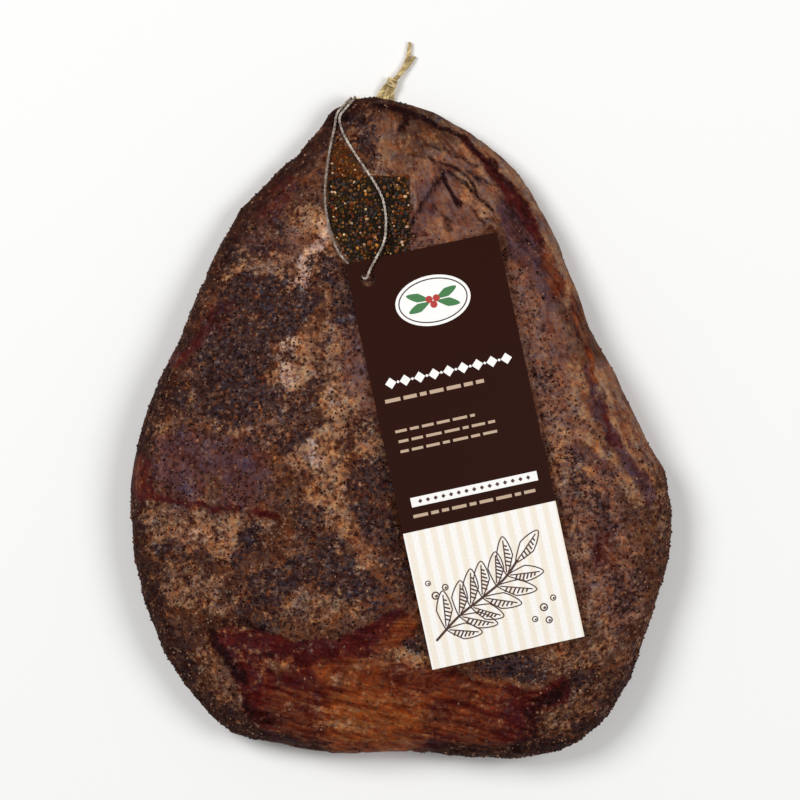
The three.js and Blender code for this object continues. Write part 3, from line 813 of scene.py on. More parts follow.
# Small pieces of cracked pepper fill the patch between the large grains, which the part's source has too.
LARGE_GROWN, LARGE_RISE, KERNEL_RISE = 1.05, 0.5 - PEPPER_SUNK, 0.35  # in radii
CRUMB_AREA, CRUMB_ROWS, CRUMB_JITTER = ((-32, 6), (66, 121)), 0.87, 0.6
CRUMB_RADII, CRUMB_SINKS = (0.5, 0.92), 0.25
PATCH_FRAY = (-0.6, 0.9)  # how far in and out of the patch's outline the last pieces lie
STRING_ROOM, CARD_ROOM, TIGHT_RADIUS = 0.9, 2.2, 0.42  # where a piece is small, to clear the string or card
# A piece's lot settles its kind: brown under one number, else dark, and pale over another.
BROWN_BELOW, PALE_ABOVE, PALE_SHRINKS, RUSTY_LOWERS = 0.38, 0.91, 0.85, 0.45
PALE_LOT = 3.0  # above every other kind's lots
CRACKED_KINDS = [  # name, lowest and highest lot, and shades
    ("dark", BROWN_BELOW, 2.0, ("dark", "olive", "slate", "purple")),
    ("brown", -1.0, BROWN_BELOW, ("umber", "brown", "rust", "russet")),
    ("pale", PALE_LOT, PALE_LOT + 1, ("pale", "gold", "dull")),
]
PALE_GRAINS = [  # the larger pale kernels: place and radius
    (3.1, 81.7, 1.1), (-9.3, 74.3, 1.0), (-17.1, 73.1, 0.9), (2.3, 94.5, 0.9), (-13.8, 95.4, 0.8),
    (-1, 99.1, 0.8), (-16.7, 98.7, 0.75), (-27.9, 98.7, 0.6), (-13.4, 85, 0.8), (-19.6, 83.4, 0.7),
    (1, 75.5, 0.9), (-22.3, 91.6, 0.55), (-2.6, 88.2, 0.6), (-24.8, 106, 0.5),
]

# Where the fields that have no strokes start and end, in millimetres across the face, along it or above it.
PATCH_SOFT, RUSTY_FROM, RUSTY_TO = 1.2, (RUSTY_ABOVE - 2, RUSTY_ABOVE + 3), (114, 119)
RIM_BEYOND, RIM_END, RIM_FROM_X, RIM_FROM_Y = (0.5, 3), (20, 26), (-6, 6), (46, 60)  # beyond the first crease
RIND_SHARE, RIND_HEIGHTS, RIND_TOP = 0.9, (3.0, 9.0), 15
# The edge's painted shade and browning: how much, how far in, and where it starts and ends round the outline.
EDGE_MOST, EDGE_INWARDS, EDGE_FROM, EDGE_TO = 0.95, (3, 15), (60, 100), (290, 325)  # the last two in degrees
RIM_WIPED, THIN_CRUST, WIPED_CRUST = 0.9, 0.14, 0.8

# How the muscle's fibres slant at the broad end and above it, in degrees from +X about a point. The rest is
# pleated towards a point beside the tie, with the pleats in true size at this distance from it.
FIBRE_SLANTS = [(-17, (-20, -112)), (14, (-20, -90))]
PLEATS_FROM, PLEATS_REACH = (-4, 152), 62
FIBRE_STRETCH = 0.16
UPPER_FROM_Y, PLEATS_FROM_Y = (-104, -88), (-90, -66)

# What shows on the face: strength, half width, softness and path of each stroke.
TISSUES = {
    "rosy": [
        (0.75, 15.7, 10.7, [(21.5, 95.5), (12.5, 84.5)]), (0.8, 5, 5, [(82, 20), (90, 3.5), (96, -10.5)]),
        (0.8, 5.8, 5, [(-19.5, 40), (-18, 23.5), (-15.5, 11)]),
        (0.9, 9.1, 6.6, [(50.5, 56.5), (59, 27.5), (66.5, 3)]),
        (0.7, 9.9, 7.4, [(76.5, -22), (83, -55), (87.5, -71.5)]), (0.5, 5.8, 5, [(-53.5, 11), (-57, 1)]),
        (0.5, 5.8, 5, [(-54.5, 68), (-42, 74)]), (0.5, 5, 4.1, [(-6, 122.5), (-4.5, 106)]),
    ],
    "cream": [
        (0.95, 1.7, 2.9, [(-32, 83), (-30, 79), (-33, 73.5), (-38, 68), (-40, 59)]),
        (0.75, 1.7, 3.3, [(-44.5, 34.5), (-46.5, 27.5), (-45, 18.5)]),
        (0.7, 1.2, 3.3, [(-36, -7.5), (-33.5, -13)]), (0.5, 1.2, 2.9, [(-28.5, 14.5), (-26, 7)]),
        (0.5, 1.2, 2.9, [(-82.5, -42.5), (-73.5, -44)]),
    ],
    "pale": [
        (1, 2.1, 2.1, [(-31, 79), (-27, 75), (-28.5, 71.5), (-33.5, 70)]),
        (0.8, 3.7, 3.3, [(-36.5, 86.5), (-33, 80.5), (-28.5, 74.5)]),
        (0.9, 0.9, 1.2, [(73.5, -2.5), (83, -10.5), (92, -20), (97.5, -27)]),
        (0.85, 0.9, 1.2, [(87.5, 3.5), (94.5, -8.5), (101.5, -19.5)]),
        (0.6, 7.4, 5.8, [(79.5, 14.5), (88.5, -1), (96, -14.5)]),
        (1, 1.2, 1.7, [(-40, 67), (-40, 61.5), (-38.5, 55.5)]),
        (0.5, 3.7, 3.3, [(-73.5, 65), (-67.5, 67), (-61, 71)]),
        (0.5, 3.3, 3.3, [(-57, 67.5), (-47.5, 65.5), (-45, 58.5)]),
        (0.7, 3.7, 3.7, [(-42.5, 34), (-40, 27), (-42, 21), (-49.5, 18.5)]),
        (0.5, 2.5, 3.3, [(-28.5, 40), (-27, 27.5), (-28.5, 14.5)]),
        (0.8, 3.7, 3.7, [(-28.5, 11), (-23.5, 6), (-26.5, -1), (-33, -5.5)]),
        (0.95, 3.3, 3.3, [(-35, -8), (-41, -13.5), (-33.5, -13.5)]),
        (0.65, 5, 4.1, [(-33, -5.5), (-26.5, -18), (-31, -27), (-25.5, -35)]),
        (0.5, 3.7, 3.7, [(-18.5, 7), (-13, -5.5), (-11.5, -10.5)]),
        (0.35, 3.7, 3.3, [(-57, 16.5), (-49.5, 18)]), (0.4, 3.3, 3.3, [(-73.5, 3.5), (-67.5, 2)]),
        (0.6, 1.7, 2.1, [(-103, -0.5), (-98, -1)]), (0.45, 4.5, 3.7, [(-103, -36), (-99, -44), (-91.5, -39)]),
        (0.7, 5, 3.7, [(-80, -39), (-71.5, -40.5), (-69, -45), (-73.5, -49)]),
        (0.35, 3.3, 3.3, [(-66, -38.5), (-57, -39)]),
        (0.5, 5, 4.1, [(-89.5, -67.5), (-80.5, -68), (-71.5, -70.5)]),
        (0.35, 4.5, 4.1, [(-89, -55), (-82.5, -61)]),
        (0.3, 5, 4.1, [(-80, -93), (-81.5, -103.5), (-75.5, -108.5)]),
        (0.45, 4.1, 3.7, [(-22.5, -40.5), (-16.5, -53.5)]),
        (0.35, 3.7, 3.7, [(-44.5, -75.5), (-31, -73), (-19.5, -71.5)]),
        (0.6, 2.9, 3.3, [(-5.5, 117), (-8, 108.5), (-10.5, 105)]),
        (0.35, 5, 4.1, [(3.5, 114.5), (16.5, 114.5), (26, 114.5)]),
        (0.65, 2.1, 2.5, [(25.5, 103), (28.5, 98), (28.5, 93)]),
        (0.5, 1.7, 2.5, [(31.5, 109.5), (35.5, 103.5)]), (0.5, 3.3, 3.3, [(35, 91.5), (37.5, 84.5), (33, 87)]),
        (0.4, 2.9, 3.3, [(5, 101), (7, 93.5)]), (0.4, 2.5, 2.9, [(17.5, 82), (11, 79)]),
        (1, 1.4, 2.1, [(60, 76), (64.5, 68), (67.5, 60), (69.5, 52.5)]),
        (0.65, 2.1, 2.5, [(71, 24.5), (73.5, 18), (71, 13)]),
        (0.5, 4.1, 3.7, [(61.5, -1), (64.5, -9.5), (67, -5.5)]),
        (0.65, 1.4, 2.1, [(78, -5.5), (83, -11.5), (88.5, -17)]),
        (0.6, 1, 1.7, [(90, -5.5), (96, -13), (103.5, -22.5)]), (0.4, 3.3, 3.3, [(66.5, -20), (74.5, -18)]),
        (0.6, 2.9, 3.3, [(92.5, -22), (97, -28.5)]), (0.5, 2.5, 2.9, [(106, -30), (107.5, -39)]),
        (0.4, 3.3, 3.3, [(69.5, -42.5), (72.5, -51.5)]),
        (0.4, 4.1, 4.1, [(78.5, -71.5), (82, -88), (75.5, -94)]), (0.4, 4.1, 3.7, [(64, -96), (72.5, -92)]),
        (0.35, 5, 4.1, [(66.5, -117.5), (78.5, -109.5)]), (0.75, 2.5, 2.9, [(2, -92), (8.5, -93), (4.5, -97)]),
    ],
    "crust": [
        (0.75, 1.7, 2.1, [(70.5, -10.5), (78.5, -14.5), (86, -19.5)]), (0.65, 2.9, 2.9, [(73, -26), (83, -29)]),
        (0.9, 2.1, 2.9, [(-15.5, 117.5), (-10.5, 115), (-5.5, 113.5)]),
        (0.9, 11.6, 5.8, [(-61, 49), (-63.5, 35), (-71.5, 23.5), (-67.5, 13)]),
        (0.85, 5.4, 4.1, [(-52, 55.5), (-41, 51), (-46, 43.5)]),
        (0.75, 3.3, 3.3, [(-33.5, 66.5), (-26, 62.5), (-23, 53.5), (-19.5, 40)]),
        (0.6, 4.5, 4.1, [(-61.5, 81.5), (-55, 77), (-52, 85.5)]), (0.5, 2.9, 3.3, [(-65, 77), (-71, 70.5)]),
        (0.6, 4.1, 3.3, [(-82.5, 18), (-90, 13), (-98, 18)]),
        (0.5, 5, 4.1, [(-82.5, 7), (-64, 7), (-47.5, 11)]),
        (0.6, 2.5, 2.5, [(-32, 18.5), (-38.5, 9.5), (-45, 2)]),
        (0.55, 3.7, 3.7, [(-41, -1), (-47.5, -5.5), (-57, -3.5)]),
        (0.75, 5.8, 4.5, [(-13, -20), (-11.5, -27.5), (-7.5, -22)]), (0.6, 5, 4.1, [(-12, -32), (-7, -42.5)]),
        (0.6, 6.2, 5, [(-35, -40.5), (-31, -50), (-23.5, -53)]),
        (0.75, 5, 4.5, [(-55.5, -65), (-45, -61), (-35, -57), (-22.5, -63), (-11.5, -67.5)]),
        (0.85, 2.1, 2.1, [(-58.5, -40.5), (-62.5, -46.5), (-66.5, -53.5)]),
        (0.5, 2.5, 2.5, [(-90.5, -48.5), (-85, -50)]), (0.55, 2.9, 2.9, [(-97, -51), (-91.5, -53.5)]),
        (0.5, 7, 5.8, [(-59.5, -71.5), (-56, -76.5)]), (0.45, 5, 4.1, [(0, -55), (-2, -67.5)]),
        (0.8, 2.5, 2.5, [(-14.5, 118.5), (-10.5, 115.5), (-5.5, 114.5)]),
        (0.7, 2.1, 2.1, [(-19.5, 126.5), (-12, 124.5)]), (0.9, 2.1, 2.1, [(3, -85), (7.5, -89)]),
        (0.8, 4.1, 3.3, [(36.5, -98), (45.5, -97), (54, -99.5)]),
        (0.45, 5, 4.1, [(72.5, -24), (79.5, -27), (83, -31)]), (0.4, 4.1, 3.7, [(92, -30), (99.5, -39)]),
        (0.4, 4.1, 3.3, [(64.5, 17), (59.5, 23.5)]), (0.5, 2.1, 2.5, [(69, 44), (71, 40)]),
        (0.4, 5, 5, [(91, -58), (94.5, -71.5)]), (0.5, 3.7, 3.7, [(64.5, -110), (75.5, -103.5)]),
        (0.6, 4.1, 4.1, [(-104.5, -61), (-99.5, -79.5), (-91.5, -97)]),
        (0.6, 3.7, 3.7, [(-84, -112.5), (-71, -123), (-57, -128.5)]),
        (0.6, 3.7, 3.7, [(66.5, -131), (83, -122), (99.5, -97)]),
        (0.7, 2.1, 1.7, [(16.5, -131.5), (33, -131.5), (58, -130)]),
    ],
    "lean": [
        (0.9, 7.4, 3.7, [(-94.5, -11.5), (-91.5, -18.5), (-87.5, -24.5)]),
        (0.8, 6.6, 4.1, [(-85.5, -8.5), (-72, -11.5), (-61, -16), (-65, -24.5)]),
        (0.6, 4.1, 3.7, [(-55.5, -19.5), (-57, -27.5)]), (0.6, 3.7, 3.7, [(-71, 47.5), (-80, 38.5)]),
        (0.7, 2.5, 3.3, [(-47, 98.5), (-51, 93), (-55, 86.5)]), (0.5, 2.5, 3.3, [(-57, 79), (-61, 74.5)]),
        (1, 1.3, 1.7, [(81.5, 8.5), (85, -0.5), (90, -9.5), (96, -17), (101.5, -24.5), (103.5, -30)]),
        (0.85, 1.1, 1.7, [(76.5, 23.5), (79, 16), (81.5, 8.5)]),
        (0.6, 2.5, 2.9, [(13, 98.5), (10.5, 89), (7, 79.5)]), (0.5, 2.1, 2.5, [(16.5, 101), (19, 108)]),
        (0.8, 4.1, 3.7, [(45, 89), (49, 79.5), (51.5, 70)]),
        (0.65, 2.9, 2.9, [(54, 68), (59.5, 59), (63, 52.5)]), (0.6, 2.1, 2.5, [(79, 12), (83, 4.5)]),
        (0.8, 1.7, 2.1, [(87, -5.5), (92.5, -13.5), (99.5, -22.5), (104, -30)]),
        (0.6, 1.7, 2.1, [(71, -8.5), (78.5, -13), (87, -18)]), (0.5, 2.1, 2.5, [(84, -38.5), (82, -46.5)]),
        (0.45, 3.3, 3.3, [(-15.5, -33.5), (-10.5, -43.5)]),
        # This stroke paints a sheen inside the dark red patch.
        (0.55, 1.7, 2.1, [(-60, -90), (-57, -99.5), (-59.5, -111)]),
        (0.5, 3.3, 3.3, [(40.5, -112.5), (48, -117.5)]), (0.4, 3.7, 3.7, [(-17, 33.5), (-14, 18)]),
    ],
    "glaze": [
        (0.8, 0.8, 2.9, [(26, 118.5), (32.5, 112.5), (38, 107)]),
        (0.9, 1.4, 3.3, [(37.5, 107), (43.5, 100), (49.5, 91.5), (54.5, 83.5), (56.5, 77)]),
        (0.75, 1.2, 3.3, [(57, 78), (60.5, 70), (63.5, 62.5), (65.5, 55.5)]),
        (0.7, 0.8, 2.1, [(71, 53.5), (73, 44), (73.5, 37.5)]),
        (0.75, 0.6, 2.1, [(76.5, 32), (78.5, 25.5), (79.5, 18)]),
        (0.6, 0.6, 2.1, [(83, 13.5), (84.5, 6), (85.5, 1)]), (0.7, 1, 2.5, [(85, -3), (89, -8.5)]),
        (0.8, 2.9, 4.1, [(-106.5, -16), (-104.5, -26)]),
        # These two thin strokes paint the shadow under the edge of the flap that overlaps the fat.
        (0.9, 0.6, 1.7, [(-103, -29.5), (-94.5, -29.5), (-86.5, -31.5), (-77.5, -33)]),
        (0.75, 0.6, 2.5, [(-77.5, -33), (-68, -32.5), (-57, -35), (-51.5, -36.5)]),
        (0.75, 1, 2.5, [(-93, 26), (-88, 29.5), (-83, 34)]),
        (0.6, 1.2, 2.9, [(-75, 48.5), (-80, 39), (-83, 34)]), (0.4, 3.3, 3.3, [(-71, 49), (-76, 42)]),
        (0.4, 2.5, 3.7, [(-55, 87), (-50.5, 93.5), (-45, 100.5)]),
        (0.3, 2.1, 2.9, [(-54.5, 74.5), (-49.5, 73)]),
        (0.95, 5, 2.5, [(-71, -87), (-57, -89), (-41, -93.5), (-24.5, -92), (-11.5, -87), (-0.5, -80.5)]),
        (0.95, 6.6, 3.3, [(-61, -98), (-57, -112), (-45, -122)]),
        (0.95, 10.7, 4.1, [(-37, -108.5), (-16.5, -111), (12.5, -113.5), (33, -117.5), (44, -117.5)]),
        (0.95, 5.8, 2.5, [(-37, -124.5), (0, -126.5), (20, -124.5)]),
        (0.9, 3.7, 2.5, [(20, -124.5), (37.5, -124.5), (52, -122.5)]),
        (0.9, 3.7, 2.9, [(52, -113.5), (60, -111), (67, -107)]),
        (0.7, 4.1, 3.7, [(19, -106), (29, -108.5), (41.5, -111)]),
        (0.8, 3.3, 3.3, [(-0.5, -100.5), (8.5, -102), (19, -103.5)]),
        (0.6, 2.9, 4.5, [(85, -46.5), (83.5, -55)]),
    ],
    "wiped": [
        (1, 12.4, 6.6, [(5, 118.5), (15, 106), (21.5, 91.5)]),
        (0.85, 6.6, 5, [(29, 114.5), (38, 93.5), (41.5, 83.5)]),
        (1, 3.7, 2.1, [(0, 133.5), (16.5, 127.5), (33, 117.5), (47.5, 103), (60, 83.5), (68.5, 62.5),
         (76, 42), (84.5, 23.5), (96, 1)]), (0.75, 5.8, 4.1, [(47.5, 87.5), (58, 68), (68.5, 40)]),
        (0.6, 7.4, 5, [(71, 32), (83, 11), (99.5, -18)]), (0.45, 5.8, 5, [(78.5, -5.5), (99.5, -38.5)]),
        (0.45, 5, 4.1, [(-103, -11.5), (-82.5, -13.5), (-61.5, -20)]),
        (0.4, 3.3, 3.3, [(-64, 79.5), (-47.5, 93.5), (-33, 114.5)]),
    ],
    # Painted shade in the folds and creases, along the steps and along the bottom edge.
    "seam": [
        (0.85, 0.6, 1.7, [(-11.5, 133), (-2, 131.5), (5, 129), (12, 126.5), (19, 122.5), (25, 119.5)]),
        (0.65, 0.7, 2.1, [(25, 119.5), (32.5, 113.5), (40, 106), (46.5, 98)]),
        (0.5, 0.6, 2.5, [(46.5, 98), (50.5, 92.5), (54.5, 84.5)]), (0.33, 0.5, 2.5, [(54.5, 84.5), (59, 74)]),
        (0.9, 0.6, 1.2, [(17.5, 105.5), (19, 99), (21.5, 95), (25.5, 90)]),
        (0.85, 0.7, 1, [(4, 129), (2.5, 126.5), (0.5, 123)]),
        (0.7, 0.5, 1, [(14, 110), (21, 107.5), (27, 103), (32, 95.5)]),
        (0.7, 0.5, 1, [(19, 105.5), (27, 99), (34.5, 93.5), (38, 89)]),
        (0.6, 0.4, 0.9, [(5.5, 112.5), (14, 111)]), (0.65, 0.5, 1, [(27, 105), (35.5, 100), (40, 99)]),
        (0.7, 0.6, 1.3, [(17.5, 103), (12, 95.5), (6.5, 86), (3.5, 77.5)]),
        (0.6, 0.4, 0.9, [(10, 116), (18.5, 114.5), (26.5, 110), (33, 105.5)]),
        (0.6, 0.4, 1, [(13.5, 91), (19, 84.5), (21.5, 80.5)]),
        (0.55, 0.4, 1, [(29, 89), (36.5, 81.5), (41.5, 77)]),
        (0.42, 1.2, 3.7, [(45, 91), (49.5, 83), (52.5, 75.5)]),
        (0.8, 1.1, 2.1, [(-76.5, -83), (-75.5, -88), (-71, -92.5), (-67.5, -98), (-64.5, -103.5)]),
        (0.7, 1, 1.7, [(-71.5, -80), (-62.5, -80), (-53.5, -81.5)]),
        (0.55, 1.7, 2.1, [(-66.5, -109.5), (-62.5, -116), (-56, -119.5), (-48.5, -120)]),
        (0.5, 1.2, 1.7, [(-56, -93), (-52, -93)]), (0.75, 2.1, 2.1, [(57, -112.5), (62, -110), (64.5, -108.5)]),
        (0.55, 2.5, 2.5, [(54, -117.5), (57, -122), (53, -125)]), (0.5, 1.7, 2.1, [(68.5, -105.5), (71, -102)]),
        (0.6, 2.1, 2.1, [(-26, 126), (-20.5, 131.5)]),
        (0.6, 1.2, 1.7, [(-49.5, -126.5), (-41, -130), (-28.5, -132)]),
        (0.45, 1.2, 1.7, [(12.5, -131.5), (29, -132.5), (49.5, -132.5), (66.5, -130)]),
        (0.5, 1.2, 1.7, [(-59.5, -41.5), (-57, -46.5)]),
    ],
    "amber": [
        (0.95, 2.5, 19.8, [(-19.5, -116), (-6.5, -117.5), (0, -118.5)]),
        (0.95, 2.1, 15.7, [(-20.5, -127.5), (-6.5, -129), (-1.5, -129)]),
        (0.5, 1.2, 9.1, [(-39.5, -130), (-28.5, -131)]),
        (0.4, 2.5, 9.1, [(-39.5, -113.5), (-48.5, -114.5), (-28.5, -122)]),
        (0.45, 1.7, 14, [(12.5, -119.5), (26, -122), (32.5, -124.5)]),
        (0.6, 1.7, 11.6, [(-28.5, -101), (-18, -100.5), (-8, -102)]),
        (0.45, 3.3, 10.7, [(-2, -103), (16.5, -105.5), (35.5, -108.5)]),
        (0.25, 2.1, 5.8, [(-52, -99.5), (-41, -98)]), (0.45, 2.1, 6.6, [(-45, -125), (-28.5, -130)]),
        (0.6, 2.1, 3.7, [(-6.5, -88.5), (0, -84.5), (4.5, -79.5), (7.5, -74)]),
        (0.35, 3.3, 7.4, [(29, -117.5), (37.5, -121)]),
        (0.3, 1.2, 3.7, [(-76.5, 52.5), (-80, 46.5), (-84, 41.5)]),
        (0.35, 1.2, 3.7, [(-107.5, -14.5), (-106.5, -21)]), (0.25, 1.7, 3.7, [(-38, 98), (-34.5, 104.5)]),
        (0.4, 2.9, 3.3, [(-12, -71.5), (1, -71.5)]), (0.45, 2.9, 3.3, [(-18, -48), (-13, -52)]),
        (0.45, 0.8, 2.9, [(-48.5, -40), (-44.5, -42.5)]), (0.6, 0.6, 2.1, [(77, 31), (78.5, 25), (79.5, 20)]),
        (0.5, 0.8, 3.3, [(61.5, 68), (64.5, 59), (67, 54)]), (0.4, 0.6, 2.1, [(72, 52.5), (73.5, 43.5)]),
        (0.3, 2.1, 4.1, [(85, -50), (87.5, -55.5)]),
    ],
    # Painted highlights on the glossy bared muscle, as light streaks along its fibres, with some light strands.
    "sinew": [
        (0.46, 0.6, 1.4, [(-35.5, -115.5), (-28.5, -114.5), (-21.5, -115)]),
        (0.56, 0.8, 1.7, [(-32, -121.5), (-21.5, -122), (-15.5, -123.5), (-11.5, -124)]),
        (0.37, 0.8, 1.4, [(7, -117), (10, -119), (14, -121)]), (0.31, 0.6, 1.2, [(-42, -123), (-33.5, -122.5)]),
        (0.28, 0.6, 1.2, [(2, -123), (7, -122.5), (12, -124.5)]), (0.31, 0.8, 1.2, [(10, -126.5), (15, -128)]),
        (0.37, 1.2, 1.7, [(-58.5, -97), (-55, -98.5), (-52.5, -96)]),
        (0.62, 0.8, 1.2, [(-47.5, -98.5), (-45, -96), (-43.5, -94.5)]),
        (0.31, 1, 1.7, [(-42.5, -97), (-40, -99.5)]), (0.25, 0.8, 1.2, [(-65, -92), (-61.5, -96)]),
        (0.31, 1, 1.4, [(-30.5, -103), (-27, -104.5)]), (0.28, 0.8, 1.2, [(-4, -108.5), (-0.5, -112.5)]),
        (0.25, 1.2, 1.7, [(27.5, -107), (31.5, -110)]),
    ],
}


def inside(x, y, corners):
    """Which points lie inside a polygon."""
    found = np.zeros(np.shape(x), bool)
    for (ax, ay), (bx, by) in zip(corners, corners[1:] + corners[:1]):
        crosses = (ay > y) != (by > y)
        found ^= crosses & (x < (bx - ax) * (y - ay) / ((by - ay) or 1e-9) + ax)
    return found


def to_polygon(x, y, corners):
    """The distance to a polygon's outline, negative inside it."""
    far = np.abs(along_path(x, y, corners + corners[:1]))
    return np.where(inside(x, y, corners), -far, far)


def cloud(points, size, octaves=3, seed=0.0):
    """Smooth noise from about -1 to 1 at points in millimetres."""
    return np.array([
        noise.fractal((x / size + seed, y / size - seed, z / size + 0.37 * seed), 0.9, 2.0, octaves)
        for x, y, z in points.tolist()])


def tissue_fields(points):
    """How much of each tissue there is at each point, from 0 to 1."""
    x = points[:, 0] + 1.8 * cloud(points, 9, 4, 5.1)
    y = points[:, 1] + 1.8 * cloud(points, 9, 4, 9.7)
    fields = {}
    for name, strokes in TISSUES.items():
        share = np.zeros(len(points))
        for strength, half, soft, path in strokes:
            away = smooth(half, half + soft, np.abs(along_path(x, y, path)))
            share = np.maximum(share, strength * (1 - away))
        fields[name] = share
    return fields


def edge_shade_and_browning(x, y, share):
    """How far the edge is darkened, partly by painted shade and partly by browned skin, everywhere but down the
    right side.
    """
    turn = np.degrees(np.arctan2(y - HUB[1], x - HUB[0])) % 360
    inwards = np.hypot(x - HUB[0], y - HUB[1]) * (1 / np.maximum(share, 0.01) - 1)
    around = np.where(turn < 180, smooth(*EDGE_FROM, turn), 1 - smooth(*EDGE_TO, turn))
    return EDGE_MOST * around * (1 - smooth(*EDGE_INWARDS, inwards))


def fibre_way(points):
    """Coordinates that run slowly along the fibres, slanting at the broad end and fanned elsewhere."""
    x, y, z = points.T
    bend = 0.8 * cloud(points, 30, 2, 6.6)
    ways = []
    for angle, (px, py) in FIBRE_SLANTS:
        c, s = math.cos(math.radians(angle)), math.sin(math.radians(angle))
        ways.append(np.stack(
            [FIBRE_STRETCH * (c * (x - px) + s * (y - py)), c * (y - py) - s * (x - px) + bend, z], 1))
    broad_end, upper = ways
    dx, dy = x - PLEATS_FROM[0], y - PLEATS_FROM[1]
    fan = np.stack([FIBRE_STRETCH * np.hypot(dx, dy), PLEATS_REACH * np.arctan2(dx, -dy) + 1.5 * bend, z], 1)
    higher = smooth(*UPPER_FROM_Y, y)[:, None]
    pleated = smooth(*PLEATS_FROM_Y, y)[:, None]
    return (broad_end * (1 - higher) + upper * higher) * (1 - pleated) + fan * pleated


class CHEEK_OT_meat(bpy.types.Operator):
    """Shapes the slab of fat and lean over its frame solid, with its wrinkles, and marks its tissues"""

    bl_idname = "cheek.meat"
    bl_label = "Meat"

    def execute(self, context):
        sizes, colours = context.scene.cheek_sizes, context.scene.cheek_colours
        bm = bmesh.new()
        bmesh.ops.create_cube(bm, size=2)
        bmesh.ops.subdivide_edges(bm, edges=bm.edges, cuts=sizes.cells - 1, use_grid_fill=True)
        cube = np.array([v.co for v in bm.verts])
        base, share = slab_points(units(np.tan(cube * np.pi / 4)))
        for vert, place in zip(bm.verts, base.tolist()):
            vert.co = place
        bmesh.ops.recalc_face_normals(bm, faces=bm.faces)
        bm.normal_update()
        normals = np.array([v.normal for v in bm.verts])
        fields = tissue_fields(base)
        raised = self.fine_relief(base, fields) * sizes.relief_height / MM
        placed = base + normals * raised[:, None]
        placed[:, 2] = np.maximum(placed[:, 2], 0)
        for vert, place in zip(bm.verts, placed.tolist()):
            vert.co = place

        x, y, z = base.T
        fields["patch"] = 1 - smooth(-PATCH_SOFT, PATCH_SOFT, to_polygon(x, y, PATCH_CORNERS))
        fields["rusty"] = fields["patch"] * smooth(*RUSTY_FROM, y) * (1 - smooth(*RUSTY_TO, y))
        beyond = along_path(x, y, CREASES[0][0])
        along_it = smooth(*RIM_BEYOND, beyond) * smooth(*RIM_FROM_Y, y) * smooth(*RIM_FROM_X, x)
        fields["rim"] = along_it * (1 - smooth(*RIM_END, beyond))
        fields["rind"] = np.where(share > RIND_SHARE, 1 - smooth(*RIND_HEIGHTS, z), 0.0) * (z < RIND_TOP)
        fields["rind"] = np.where(z <= 0.01, 1.0, fields["rind"])
        fields["edge"] = edge_shade_and_browning(x, y, share)
        fields["wiped"] = np.maximum(fields["wiped"], RIM_WIPED * fields["rim"])
        fields["crust"] = np.maximum(fields["crust"], THIN_CRUST * (1 - fields["pale"]))
        fields["crust"] = fields["crust"] * (1 - WIPED_CRUST * fields["wiped"])
        piece = finish_piece("pork_cheek_surface", mesh_of("pork_cheek_surface", bm), [meat_material(colours)],
                             ["pork_cheek"])
        for name, values in fields.items():
            mark(piece.data, name, values)
        mark(piece.data, "fibre_way", fibre_way(base) * MM)
        return {"FINISHED"}

    @staticmethod
    def fine_relief(points, fields):
        """Lumps, wrinkles and fibres in units of the relief height, none on the flat rind."""
        lumps = cloud(points, 12, 2, 1.3) + 0.6 * cloud(points, 5.5, 2, 3.1)
        wrinkles = -1.6 * np.exp(-(cloud(points * (1, 0.6, 1), 19, 2, 7.7) / 0.09) ** 2)
        long_fibres = cloud(points * (0.2, 1, 1), 2.6, 2, 2.2) * np.maximum(fields["amber"], fields["glaze"])
        crumbs = 0.45 * cloud(points, 2.4, 2, 8.4) * (0.5 + fields["crust"])
        made = 0.9 * lumps + 0.7 * wrinkles + 0.55 * long_fibres + crumbs
        under_tag = covered_by_tag(points[:, 0], points[:, 1], 2)
        made = np.where(under_tag, np.minimum(made, 0.3), np.minimum(made, 1.2))
        return made * smooth(0, 4, points[:, 2])


